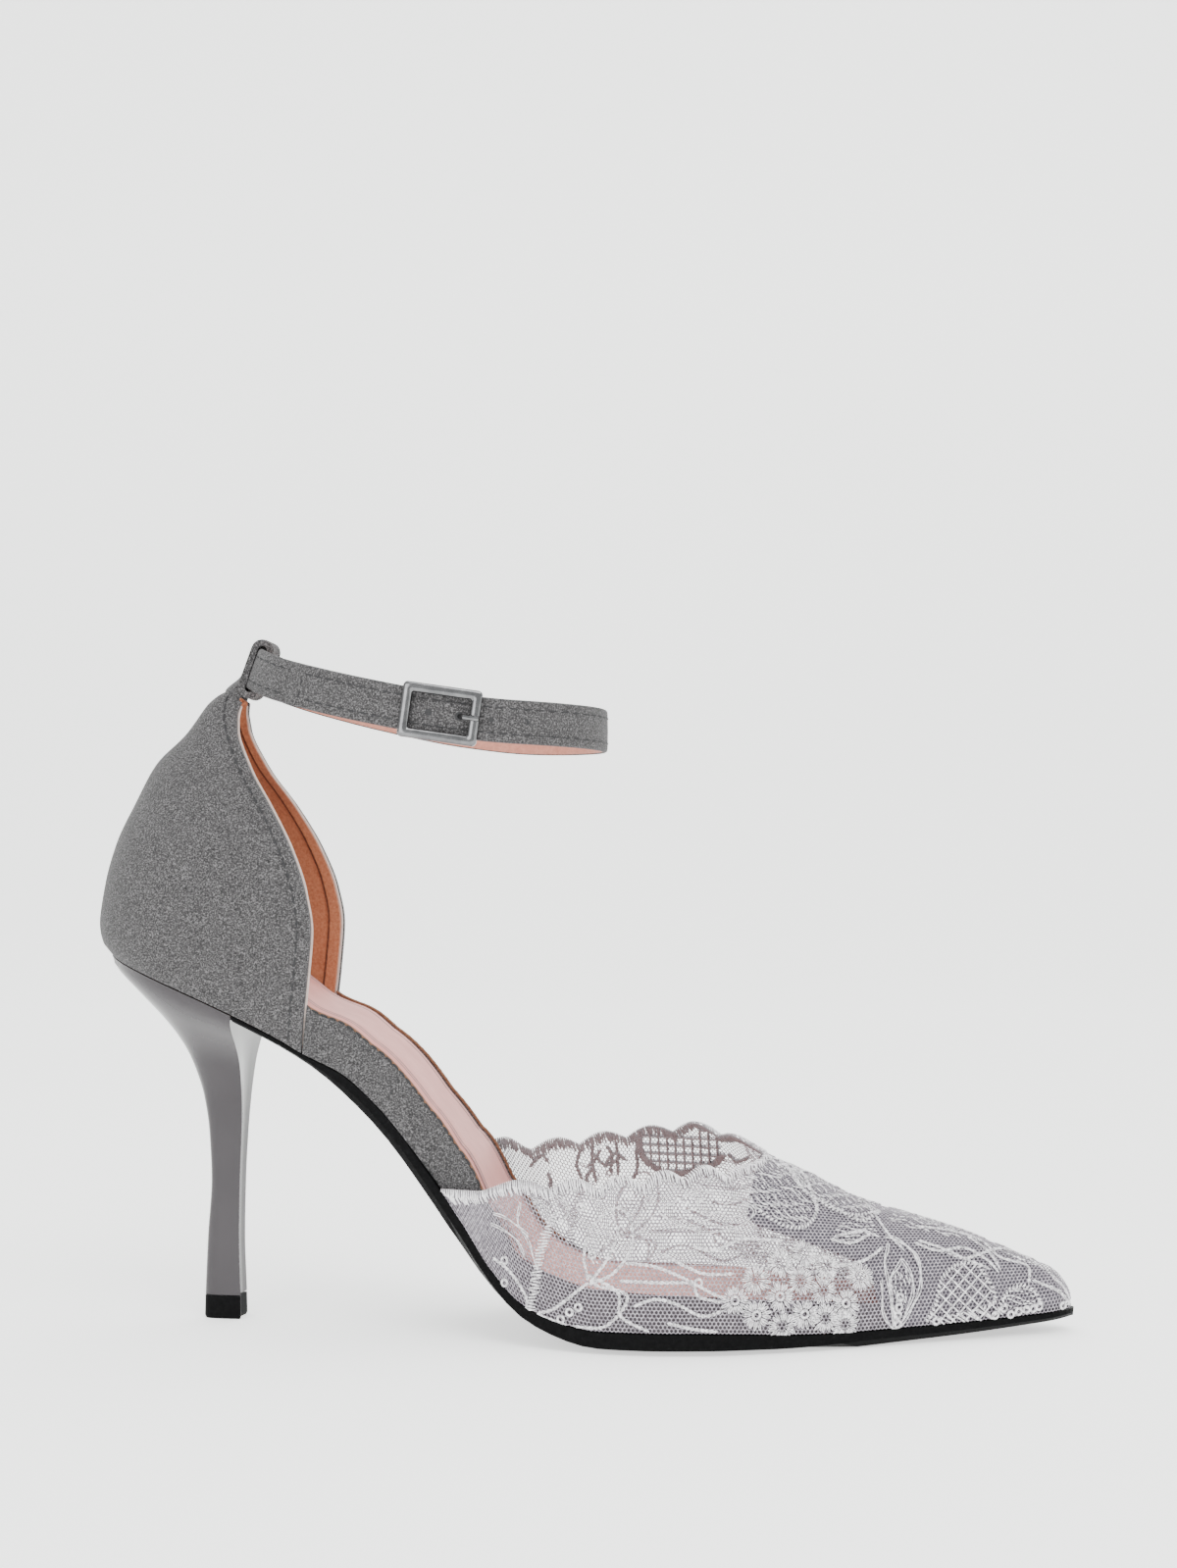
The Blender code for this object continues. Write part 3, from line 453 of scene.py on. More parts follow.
def insole_section(x, back, tip):
    """Section of the footbed at x."""
    inset = insole_inset(x)
    low = feather(x) + CLEARANCE
    high = insole_top(x)
    halves = []
    for side in (-1, 1):
        half = half_width(x, side, back, tip)
        halves.append(half - inset * min(1.0, half / (3.0 * inset)))
    left = centre(x) - halves[0]
    right = centre(x) + halves[1]
    crown = SOCK_CROWN * (right - left)
    ease = mix(low, high, SOCK_EASE)
    lift = arch_lift(x)
    return [
        Vector((x, centre(x), high)),
        Vector((x, left + crown, high)),
        Vector((x, left, ease)),
        Vector((x, left, low)),
        Vector((x, centre(x), low)),
        Vector((x, right, low)),
        Vector((x, right, ease + lift)),
        Vector((x, right - crown, high + SOCK_LIFT * lift)),
    ]


def band_inset(x):
    """How far the waist band's face lies inside the outline: flush, then under the vamp."""
    under_vamp = FEATHER_INSET + VAMP_WALL + 1.5 * CLEARANCE
    rows = ((VAMP_REAR - 0.009, 0.0), (VAMP_REAR - 0.001, under_vamp))
    return curve(rows, 1, x)


def quarter_row(v):
    """One row of the quarter: back x and z, front x and z, width share."""
    last = len(QUARTER_ROWS) - 1
    rows = [(i / last, *row) for i, row in enumerate(QUARTER_ROWS)]
    seat_z = feather(SEAT_BACK) + CLEARANCE
    front_x = QUARTER_ROWS[0][2] * QUARTER_LENGTH
    front_z = feather(front_x) + CLEARANCE
    return (
        curve(rows, 1, v) * QUARTER_LENGTH,
        seat_z + QUARTER_HEIGHT * curve(rows, 2, v),
        curve(rows, 3, v) * QUARTER_LENGTH,
        front_z + QUARTER_FRONT_HEIGHT * curve(rows, 4, v),
        curve(rows, 5, v),
    )


def quarter_point(v, share, side, inset):
    """Point on the quarter: v up the wall, share from the back (0) to the front edge (1)."""
    back, back_z, front, front_z, width = quarter_row(v)
    start = back + inset
    x = mix(start, front, share)
    depth = front - back
    reach = min(SEAT_ROUND, depth)
    half = full_half(x, side) * width * rounding(x - start, reach - inset, SEAT_POWER)
    half -= inset * min(1.0, half / (3.0 * inset)) if inset > 0.0 else 0.0
    across = (x - back) / depth
    chord = mix(feather(back), feather(front), across)
    sag = (feather(x) - chord) * (1.0 - v) ** 6
    return Vector((x, side * half, mix(back_z, front_z, across) + sag))


def throat_share(x):
    """Where x lies on the throat: 0 at the vamp's rear, 1 at the throat's front."""
    return (x - VAMP_REAR) / (THROAT_FRONT - VAMP_REAR)


def topline(x, side):
    """Height of the scalloped topline over the floor."""
    column = 1 if side < 0 else 2
    share = throat_share(x)
    height = feather(THROAT_FRONT) + THROAT_HEIGHT * curve(TOPLINE, column, share)
    first, count, crowding = SCALLOPS[column - 1]
    if share <= first:
        return height
    wave = abs(math.sin(math.pi * count * ((share - first) / (1.0 - first)) ** crowding))
    return height + SCALLOP_DEPTH * wave * min(1.0, 8.0 * (1.0 - share))


def ridge_height(x):
    """Height of the vamp's ridge over the feather line."""
    if x < THROAT_FRONT:
        share = throat_share(x) - 1.0
    else:
        share = (x - THROAT_FRONT) / (SHOE_LENGTH - THROAT_FRONT)
    return THROAT_HEIGHT * curve(RIDGE, 1, share)


def vamp_point(x, side, climb, inset):
    """Point on the vamp: climb runs from the feather line (0) to the ridge (1)."""
    tip = SHOE_LENGTH - FEATHER_INSET
    angle = math.pi / 2 * climb
    base = half_width(x, side, tip=tip) - FEATHER_INSET * rounding(tip - x, TOE_ROUND)
    ridge = ridge_height(x) * rounding(tip - x, TOE_ROUND)
    thin = inset * min(1.0, base / (2.0 * VAMP_WALL))
    low = inset * min(1.0, ridge / (2.0 * VAMP_WALL))
    out = math.cos(angle) ** (2.0 / SECTION_OUT)
    up = math.sin(angle) ** (2.0 / SECTION_UP)
    bulge = VAMP_BULGE * 4.0 * math.sin(angle) * math.cos(angle) ** 5
    y = (base - thin) * out + bulge * rounding(tip - x, 3 * TOE_ROUND)
    shift = 0.0
    if inset > 0.0:
        shift = TOE_WALL * max(0.0, (x - THROAT_FRONT) / (tip - THROAT_FRONT)) ** 2
    z = feather(x) + CLEARANCE + (ridge - low) * up
    return Vector((x - shift, centre(x) + side * y, z))


def vamp_climb(x, side):
    """How far up the section the vamp reaches at x."""
    if x >= THROAT_FRONT:
        return 1.0
    ridge = ridge_height(x)
    share = (topline(x, side) - feather(x)) / ridge
    share = min(1.0, max(VAMP_LEAST / ridge, share))
    return math.asin(share ** (SECTION_UP / 2.0)) / (math.pi / 2)


def strap_anchor():
    """Rear end and height of the strap, held by the top of the quarter."""
    _, _, front, front_z, _ = quarter_row(1.0)
    return front + STRAP_AHEAD, front_z + STRAP_ABOVE


def strap_frame(angle):
    """Centre, direction, width axis and outward axis of the strap; angle 0 is the back.

    A positive angle runs along the outer side, a negative one along the inner side.
    """
    rear, top = strap_anchor()

    def spot(turn):
        x = rear + 0.5 * STRAP_LENGTH_X * (1.0 - math.cos(turn))
        y = -0.5 * STRAP_SPAN_Y * math.sin(turn) * (1.0 - STRAP_EGG * math.cos(turn))
        share = (x - rear) / STRAP_LENGTH_X
        z = top - STRAP_DROP * curve(STRAP_FALL, 1, share) - STRAP_TILT * y
        return Vector((x, y, z))

    here = spot(angle)
    ahead = (spot(angle + TURN_STEP) - spot(angle - TURN_STEP)).normalized()
    lean = STRAP_LEAN * (0.5 + 0.5 * math.cos(angle)) ** 2
    up = Vector((math.sin(lean), 0.0, math.cos(lean)))
    up = (up - ahead * up.dot(ahead)).normalized()
    out = ahead.cross(up).normalized()
    if out.dot(here - Vector((rear + 0.5 * STRAP_LENGTH_X, 0.0, here.z))) < 0.0:
        out = -out
    return here, ahead, up, out


def strap_pace(angle):
    """Length of strap in a radian at that angle."""
    return (strap_frame(angle + TURN_STEP)[0] - strap_frame(angle)[0]).length / TURN_STEP


def strap_layer(angle, start_angle):
    """How far the strap lies outside its middle loop: one thickness out past the buckle."""
    left = 2 * math.pi - (start_angle - angle)
    share = (STRAP_RISE_START - left) / (STRAP_RISE_START - STRAP_RISE_END)
    share = min(1.0, max(0.0, share))
    return (STRAP_THICK + CLEARANCE) * share * share * (3 - 2 * share)


def on_buckle(along, across, out_by):
    """Point in the buckle's own axes: forward along the strap, up across it, and outwards."""
    here, ahead, up, out = strap_frame(BUCKLE_ANGLE)
    return here + ahead * along + up * across + out * out_by


# Place of the last in the row frame, and the photograph's camera
TOE_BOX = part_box("outsole")
TIP_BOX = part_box("heel_tip")
PLACE = Vector((TOE_BOX[1].x - SHOE_LENGTH, 0.5 * (TIP_BOX[0].y + TIP_BOX[1].y), 0.0))
YAW = math.radians(6.0)
CAMERA_REACH = 0.6615
CAMERA_HEIGHT = 0.130
CAMERA_AIM_X = 0.1203
PHOTO_WIDTH = 1200
PHOTO_HEIGHT = 1599
PHOTO_FOCAL = 2800.0
SENSOR = 36.0
NOISE_ROUGHNESS = 0.65
CAMERA_SPOT = PLACE + Vector((
    CAMERA_AIM_X + CAMERA_REACH * math.sin(YAW), -CAMERA_REACH * math.cos(YAW), CAMERA_HEIGHT
))


def noise_node(tree, scale, detail, coords):
    """Noise texture in metres of the row frame."""
    node = tree.nodes.new("ShaderNodeTexNoise")
    node.inputs["Scale"].default_value = scale
    node.inputs["Detail"].default_value = detail
    node.inputs["Roughness"].default_value = NOISE_ROUGHNESS
    tree.links.new(coords, node.inputs["Vector"])
    return node


def ramp_node(tree, stops, value):
    """Colour ramp through (position, colour) stops."""
    node = tree.nodes.new("ShaderNodeValToRGB")
    while len(node.color_ramp.elements) < len(stops):
        node.color_ramp.elements.new(0.5)
    for element, (position, colour) in zip(node.color_ramp.elements, stops):
        element.position = position
        element.color = (*colour, 1.0)
    tree.links.new(value, node.inputs["Fac"])
    return node


def material(name, stops, scale, roughness, detail=2.0, bump=0.0, bump_size=0.0002, **sockets):
    """Principled material whose colour runs through a fine noise, with bump from the same noise."""
    made = bpy.data.materials.new(name)
    made.use_nodes = True
    tree = made.node_tree
    shader = tree.nodes["Principled BSDF"]
    coords = tree.nodes.new("ShaderNodeTexCoord").outputs["Object"]
    fine = noise_node(tree, scale, detail, coords)
    ramp = ramp_node(tree, stops, fine.outputs["Fac"])
    tree.links.new(ramp.outputs["Color"], shader.inputs["Base Color"])
    shader.inputs["Roughness"].default_value = roughness
    for key, value in sockets.items():
        shader.inputs[key.replace("_", " ")].default_value = value
    if bump > 0.0:
        lift = tree.nodes.new("ShaderNodeBump")
        lift.inputs["Strength"].default_value = bump
        lift.inputs["Distance"].default_value = bump_size
        tree.links.new(fine.outputs["Fac"], lift.inputs["Height"])
        tree.links.new(lift.outputs["Normal"], shader.inputs["Normal"])
    return made


SUEDE = material(
    "heathered suede",
    ((0.34, (0.007, 0.0065, 0.007)), (0.50, (0.041, 0.039, 0.040)), (0.66, (0.165, 0.159, 0.162))),
    2900.0, 0.95, 3.0, 0.6, 0.00030, Sheen_Weight=0.06,
)
TAN = material(
    "tan lining", ((0.30, (0.31, 0.105, 0.045)), (0.70, (0.47, 0.178, 0.086))),
    1500.0, 0.85, 3.0, 0.3, 0.0002, Sheen_Weight=0.2,
)
# Painted shade: a darker copy of the tan lining, laid as a cord in the step along the facing's rear edge.
TAN_SHADE = material("tan painted shade", ((0.3, (0.08, 0.028, 0.014)), (0.7, (0.17, 0.06, 0.028))), 1500.0, 0.9)
# Pale cord on the counter's front edges: painted highlight along the outer side's rolled edge, and the edge's own
# pale colour where it shows over the inner lining.
EDGE_AND_HIGHLIGHT = material("pale edge and painted highlight", ((0.3, (0.44, 0.34, 0.30)), (0.7, (0.56, 0.47, 0.43))), 900.0, 0.7)
PINK = material(
    "pink satin", ((0.30, (0.56, 0.235, 0.205)), (0.70, (0.63, 0.280, 0.248))),
    160.0, 0.50, 2.0, 0.05, 0.0002, Specular_IOR_Level=0.35,
)
# Painted shade: a darker copy of the pink sock for its pressed lines.
SOCK_LINE_SHADE = material("painted sock line shade", ((0.3, (0.24, 0.15, 0.15)), (0.7, (0.31, 0.20, 0.20))), 300.0, 0.5)
SALMON = material("strap lining", ((0.3, (0.42, 0.165, 0.115)), (0.7, (0.54, 0.23, 0.165))), 900.0, 0.6)
# Dark thread for the stitches; also the painted shade of the strap's holes, which are dark discs instead of
# openings.
DARK_THREAD_AND_HOLE_SHADE = material("dark thread and painted hole shade", ((0.3, (0.006, 0.006, 0.007)), (0.7, (0.020, 0.020, 0.022))), 2500.0, 0.7)
# Painted shade: colour of the dark sheet under the outer net, which stands in for the shade inside the shoe.
SHADOW = material("painted shade sheet", ((0.3, (0.055, 0.046, 0.053)), (0.7, (0.110, 0.095, 0.106))), 900.0, 0.9)
RUST = material("rust cord", ((0.3, (0.13, 0.055, 0.028)), (0.7, (0.27, 0.13, 0.07))), 1800.0, 0.7)
BLACK = material(
    "black sole edge", ((0.3, (0.0018, 0.0018, 0.002)), (0.7, (0.0042, 0.0042, 0.0045))),
    900.0, 0.45, 2.0, 0.08, 0.0001, Specular_IOR_Level=0.04,
)
LACQUER = material(
    "grey lacquer", ((0.3, (0.030, 0.0255, 0.029)), (0.7, (0.035, 0.030, 0.0335))),
    60.0, 0.20, 1.0, 0.0, 0.0001, Coat_Weight=0.12, Coat_Roughness=0.05, Specular_IOR_Level=0.32,
)
# Painted reflection: the steel is set far darker than bare steel, so that its flat faces look as if they mirror
# dark surroundings.
STEEL = material(
    "polished steel with painted dark reflection", ((0.3, (0.120, 0.120, 0.124)), (0.7, (0.180, 0.180, 0.184))),
    400.0, 0.12, 2.0, 0.02, 0.0001, Metallic=1.0,
)
# Silver thread whose noise runs from dark grey to white: painted glints and painted shade along the threads, over
# their own uneven tone.
THREAD = material(
    "silver thread with painted glints",
    ((0.36, (0.34, 0.325, 0.34)), (0.50, (0.68, 0.66, 0.68)), (0.62, (0.97, 0.95, 0.97))),
    1500.0, 0.34, 2.0, 0.3, 0.0001, Sheen_Weight=0.1,
)
# Painted light: a brighter copy of the silver thread for the outer border on the lit side, with painted glints in
# its top stop.
LIT_BORDER_THREAD = material(
    "lit border thread", ((0.34, (0.62, 0.60, 0.62)), (0.50, (0.90, 0.88, 0.90)), (0.62, (1.0, 0.98, 1.0))),
    1500.0, 0.32, 2.0, 0.3, 0.0001, Sheen_Weight=0.1,
)
# Painted shade: a darker copy of the silver thread, for lace seen from inside the shoe and for the backs of the
# border stitches.
SHADE_THREAD = material(
    "painted shade thread", ((0.3, (0.19, 0.17, 0.18)), (0.7, (0.31, 0.285, 0.295))), 2600.0, 0.55,
)
NET = material("net thread", ((0.38, (0.215, 0.192, 0.222)), (0.62, (0.455, 0.420, 0.465))), 1300.0, 0.6)
LINING = material(
    "lilac lining", ((0.35, (0.068, 0.060, 0.076)), (0.65, (0.135, 0.122, 0.146))),
    2100.0, 0.8, 3.0, 0.3, 0.0002,
)
FLOOR = material("pale floor", ((0.3, (0.90, 0.91, 0.90)), (0.7, (0.92, 0.93, 0.92))), 3.0, 0.9,
                 Emission_Color=(1.0, 1.0, 0.99, 1.0), Emission_Strength=0.95)


def piece(name, points, faces, look, slot_name, replaced=(), smooth=38.0):
    """Piece of the shoe from points in the last's frame."""
    mesh = bpy.data.meshes.new(name)
    mesh.from_pydata([tuple(point) for point in points], [], faces)
    mesh.materials.append(look)
    made = bpy.data.objects.new(name, mesh)
    bpy.context.scene.collection.objects.link(made)
    mesh.transform(Matrix.Translation(PLACE))
    mesh.update()
    if smooth > 0.0:
        mesh.shade_smooth()
        mesh.set_sharp_from_angle(angle=math.radians(smooth))
    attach(made, "root")
    if replaced:
        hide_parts(*replaced)
    return made


def grid_faces(rows, columns, base=0, closed=False, flip=False):
    """Quads of a grid with that many cells; closed joins its last column to its first."""
    width = columns if closed else columns + 1
    faces = []
    for i in range(rows):
        for j in range(columns):
            k = (j + 1) % width
            face = (base + i * width + j, base + i * width + k, base + (i + 1) * width + k,
                    base + (i + 1) * width + j)
            faces.append(face[::-1] if flip else face)
    return faces


def wall(outer, inner, faces):
    """Points and faces of a wall between two skins, with its rims."""
    count = len(outer)
    uses = {}
    for face in faces:
        for i, start in enumerate(face):
            end = face[(i + 1) % len(face)]
            uses.setdefault((min(start, end), max(start, end)), []).append((start, end))
    walls = [tuple(face) for face in faces]
    walls += [tuple(index + count for index in reversed(face)) for face in faces]
    for runs in uses.values():
        if len(runs) == 1:
            start, end = runs[0]
            walls.append((end, start, start + count, end + count))
    return list(outer) + list(inner), walls


# Tubes: sides, thickness of their ends, angle that shades smooth, steps round a ring
TUBE_SIDES = 5
TUBE_TAPER = 0.55
TUBE_SMOOTH = 60.0
RING_TURNS = 12


class Threads:
    """Many short tubes gathered in one mesh, on the outside of the lace (1) or its inside (-1)."""

    def __init__(self, way=1.0):
        self.way = way
        self.points = []
        self.faces = []

    def tube(self, path, radius, sides=TUBE_SIDES, taper=TUBE_TAPER):
        """Tube along a path, a little thinner at both ends."""
        if len(path) < 2:
            return
        base = len(self.points)
        last = len(path) - 1
        for i, spot in enumerate(path):
            ahead = (path[min(last, i + 1)] - path[max(0, i - 1)])
            if ahead.length < 1e-9:
                ahead = Vector((1.0, 0.0, 0.0))
            ahead.normalize()
            side = ahead.cross(Vector((0.13, 0.29, 0.95)))
            if side.length < 0.1:
                side = ahead.cross(Vector((1.0, 0.0, 0.0)))
            side.normalize()
            up = side.cross(ahead)
            reach = radius * (taper if i in (0, last) else 1.0)
            for k in range(sides):
                turn = 2 * math.pi * k / sides
                self.points.append(spot + side * (reach * math.cos(turn)) + up * (reach * math.sin(turn)))
        for i in range(last):
            for k in range(sides):
                j = (k + 1) % sides
                row = base + i * sides
                self.faces.append((row + k, row + sides + k, row + sides + j, row + j))
        self.faces.append(tuple(base + k for k in range(sides)))
        self.faces.append(tuple(base + last * sides + k for k in reversed(range(sides))))

    def ring(self, spot, normal, reach, radius):
        """Small closed ring that lies on a surface."""
        first = normal.cross(Vector((0.0, 0.0, 1.0)))
        first.normalize()
        second = normal.cross(first)
        base = len(self.points)
        for i in range(RING_TURNS):
            turn = 2 * math.pi * i / RING_TURNS
            away = first * math.cos(turn) + second * math.sin(turn)
            for k in range(TUBE_SIDES):
                lean = 2 * math.pi * k / TUBE_SIDES
                self.points.append(
                    spot + away * (reach + radius * math.cos(lean)) + normal * (radius * math.sin(lean))
                )
        for i in range(RING_TURNS):
            for k in range(TUBE_SIDES):
                j = (k + 1) % TUBE_SIDES
                row = base + i * TUBE_SIDES
                following = base + ((i + 1) % RING_TURNS) * TUBE_SIDES
                self.faces.append((row + k, row + j, following + j, following + k))

    def done(self, name, look, slot_name):
        """Turns the tubes into a piece."""
        piece(name, self.points, self.faces, look, slot_name, smooth=TUBE_SMOOTH)


def smooth_path(points, step):
    """Catmull-Rom path through points with a point about every step."""
    if len(points) < 3:
        count = max(1, round((points[1] - points[0]).length / step))
        return [points[0].lerp(points[1], i / count) for i in range(count + 1)]
    ends = [points[0] * 2 - points[1], *points, points[-1] * 2 - points[-2]]
    path = []
    for i in range(1, len(ends) - 2):
        a, b, c, d = ends[i - 1:i + 3]
        count = max(1, round((c - b).length / step))
        for k in range(count):
            t = k / count
            path.append(
                0.5 * (2 * b + (c - a) * t + (2 * a - 5 * b + 4 * c - d) * t * t
                       + (3 * b - a - 3 * c + d) * t ** 3)
            )
    path.append(ends[-2])
    return path


def wobble(index, seed=0.0):
    """Fixed irregular value between -1 and 1."""
    value = math.sin(index * 12.9898 + seed * 78.233) * 43758.5453
    return 2.0 * (value - math.floor(value)) - 1.0


# Counter: outer suede with a folded front edge, tan lining and its facing
QUARTER_SUEDE = 0.0013
FACING_WIDTH = 0.0028
RIM_SHOWN = 0.0007
FACING_THICK = 0.0005
EDGE_STITCH_IN = 0.0031
FOLD_SWELL = 0.00028
TONGUE_ROOT = 0.955
TONGUE_ROWS = 10
TONGUE_COLUMNS = 14
BUCKLE_ROUND = 0.0011
COUNTER_ROWS = 72
COUNTER_COLUMNS = 44
COUNTER_STATIONS = 400
FACING_CELLS = 4
FACING_BACK = 0.3
SKIN_GAP = 0.0001
STITCH_RISE = 0.00012
EDGE_CORD = 0.00038
SEAM_SHADE_CORD = 0.00034

# Rows of stitches: length, gap, radius
COUNTER_STITCH = (0.0019, 0.0008, 0.00031)
RIM_STITCH = (0.0016, 0.0005, 0.0003)
STRAP_STITCH = (0.0019, 0.0007, 0.00022)


def from_front(v, into):
    """Share of a row of the quarter that ends that far behind the front edge."""
    back, _, front, _, _ = quarter_row(v)
    return 1.0 - into / (front - back)


def soften(made, name, width, segments, angle):
    """Rounds the edges of a piece that are sharper than an angle in degrees."""
    soft = made.modifiers.new(name, "BEVEL")
    soft.width = width
    soft.segments = segments
    soft.limit_method = "ANGLE"
    soft.angle_limit = math.radians(angle)


def counter_point(v, share, side, inset):
    """Point on the counter with the swell of its folded edge."""
    spot = quarter_point(v, share, side, inset)
    if inset > 0.0:
        return spot
    back, _, front, _, _ = quarter_row(v)
    from_edge = (1.0 - share) * (front - back)
    swell = FOLD_SWELL * math.exp(-((from_edge - 0.5 * EDGE_STITCH_IN) / (0.55 * EDGE_STITCH_IN)) ** 2)
    groove = -0.5 * FOLD_SWELL * math.exp(-((from_edge - EDGE_STITCH_IN) / 0.0005) ** 2)
    spot.y += side * (swell + groove)
    return spot


def counter_skin(inset, short=0.0):
    """Skin of the counter from one front edge to the other, or short of them."""
    points = []
    for i in range(COUNTER_ROWS + 1):
        v = i / COUNTER_ROWS
        for j in range(-COUNTER_COLUMNS, COUNTER_COLUMNS + 1):
            share = 1.0 - math.cos(math.pi / 2 * abs(j) / COUNTER_COLUMNS)
            share *= from_front(v, short)
            points.append(counter_point(v, share, -1 if j < 0 else 1, inset))
    return points


def build_counter():
    """Outer suede, lining, facing and the row of stitches along the front edges."""
    faces = grid_faces(COUNTER_ROWS, 2 * COUNTER_COLUMNS, flip=True)
    suede = wall(counter_skin(0.0), counter_skin(QUARTER_SUEDE), faces)
    outer = piece("counter_suede", *suede, SUEDE, "grey suede", ("quarter",), 50.0)
    soften(outer, "rolled edge", 0.0004, 2, 60.0)
    lining = wall(counter_skin(QUARTER_SUEDE + 0.00003, RIM_SHOWN), counter_skin(QUARTER_WALL, RIM_SHOWN), faces)
    piece("counter_lining", *lining, TAN, "grey suede")
    for side, label in ((-1, "outer"), (1, "inner")):
        skins = [[], []]
        for i in range(COUNTER_ROWS + 1):
            v = 0.99 * i / COUNTER_ROWS
            for j in range(FACING_CELLS + 1):
                share = from_front(v, RIM_SHOWN + SKIN_GAP + FACING_WIDTH * j / FACING_CELLS)
                for k, depth in enumerate((QUARTER_WALL - SKIN_GAP, QUARTER_WALL + FACING_THICK)):
                    skins[k].append(quarter_point(v, max(FACING_BACK, share), side, depth))
        facing = wall(*skins, grid_faces(COUNTER_ROWS, FACING_CELLS, flip=side < 0))
        piece("counter_facing_" + label, *facing, TAN, "grey suede")
    dark = Threads()
    edge = Threads()
    seam_shade = Threads()
    for side in (-1, 1):
        outside = []
        rim = []
        seam = []
        for i in range(COUNTER_STATIONS):
            v = 0.02 + 0.95 * i / (COUNTER_STATIONS - 1)
            outside.append(counter_point(v, from_front(v, EDGE_STITCH_IN), side, 0.0))
            outside[-1].y += side * STITCH_RISE
            shown = from_front(v, RIM_SHOWN if side > 0 else 0.0)
            rim.append(quarter_point(v, shown, side, QUARTER_SUEDE + 2 * SKIN_GAP))
            rim[-1].x += SKIN_GAP
            share = from_front(v, RIM_SHOWN + FACING_WIDTH + 0.0003)
            seam.append(quarter_point(v, max(FACING_BACK, share), side, QUARTER_WALL + SKIN_GAP))
        stitch_row(dark, outside, *COUNTER_STITCH)
        # On the outer side this cord is a painted highlight along the edge.
        edge.tube(rim[::3], EDGE_CORD)
        # The cord along the facing's rear edge is painted shade in the step there.
        seam_shade.tube(seam[::3], SEAM_SHADE_CORD)
    dark.done("counter_stitches", DARK_THREAD_AND_HOLE_SHADE, "grey suede")
    edge.done("counter_edge", EDGE_AND_HIGHLIGHT, "grey suede")
    seam_shade.done("counter_seam_shade", TAN_SHADE, "grey suede")


def stitch_row(threads, path, length, gap, radius):
    """Row of stitches along a path of closely spaced points."""
    run = 0.0
    stitch = [path[0]]
    drawing = True
    for before, after in zip(path, path[1:]):
        run += (after - before).length
        if drawing:
            stitch.append(after)
        if drawing and run > length:
            threads.tube([stitch[0], stitch[len(stitch) // 2], stitch[-1]], radius)
            drawing = False
            run = 0.0
        elif not drawing and run > gap:
            drawing = True
            run = 0.0
            stitch = [after]


def loft_points(rings, tip=None):
    """Points and faces through closed rings, with caps or a tip."""
    count = len(rings[0])
    points = [point for ring in rings for point in ring]
    faces = grid_faces(len(rings) - 1, count, closed=True)
    faces.append(tuple(reversed(range(count))))
    last = (len(rings) - 1) * count
    if tip is None:
        faces.append(tuple(last + j for j in range(count)))
    else:
        points.append(tip)
        faces += [(last + j, last + (j + 1) % count, len(points) - 1) for j in range(count)]
    return points, faces


def closed_piece(name, points, faces, look, slot_name, replaced=(), smooth=38.0):
    """Closed piece with its faces turned outwards."""
    made = piece(name, points, faces, look, slot_name, replaced, smooth)
    tidy = bmesh.new()
    tidy.from_mesh(made.data)
    bmesh.ops.recalc_face_normals(tidy, faces=tidy.faces)
    if tidy.calc_volume(signed=True) < 0.0:
        bmesh.ops.reverse_faces(tidy, faces=tidy.faces)
    tidy.to_mesh(made.data)
    tidy.free()
    return made


def build_heel_block():
    """The lacquered heel, finely lofted."""
    height = feather(BREAST_TOP)
    block = loft_points([heel_ring(v, height) for v in spread(0.0, 1.0, HEEL_LEVELS)])
    closed_piece("heel_block", *block, LACQUER, "heel lacquer", ("heel",), 30.0)


# Pressed lines of the sock, in painted shade, and the cord at its rim
SOCK_LINES_IN = (0.0046, 0.0066)
SOCK_LINES_FROM = 0.020
SOCK_LINES_TO = 0.150
SOCK_LINE = 0.00022
RIM_END = 0.112
RIM_CORD = 0.00038
BACK_END = 0.06


def build_sock():
    """Satin footbed and its pressed lines, drawn in a darker copy of the pink as painted shade."""
    back = SEAT_BACK + QUARTER_WALL + CLEARANCE
    tip = SHOE_LENGTH - FEATHER_INSET - TOE_WALL - 4 * CLEARANCE
    stations = back_stations(back, BACK_END, 14, 26)[1:]
    stations += tip_stations(BACK_END, tip, 110, 8)[1:-1]
    rings = []
    for x in stations:
        ring = insole_section(x, back, tip)
        fine = []
        for i, spot in enumerate(ring):
            after = ring[(i + 1) % len(ring)]
            fine += [spot, spot.lerp(after, 0.5)]
        rings.append(fine)
    end = Vector((tip, centre(tip), mix(feather(tip), insole_top(tip), 0.5)))
    made = closed_piece("sock_footbed", *loft_points(rings, end), PINK, "pink sock", ("insole",), 50.0)
    soften(made, "soft crown", 0.0009, 3, 40.0)
    lines = Threads()
    for side in (-1, 1):
        for into in SOCK_LINES_IN:
            path = []
            for x in spread(SOCK_LINES_FROM, SOCK_LINES_TO, 130):
                half = half_width(x, side, back, tip) - insole_inset(x)
                lift = 0.45 * arch_lift(x) if side > 0 else 0.0
                level = insole_top(x) + lift - 0.00010
                path.append(Vector((x, centre(x) + side * (half - into), level)))
            lines.tube(path, SOCK_LINE)
    lines.done("sock_lines", SOCK_LINE_SHADE, "pink sock")


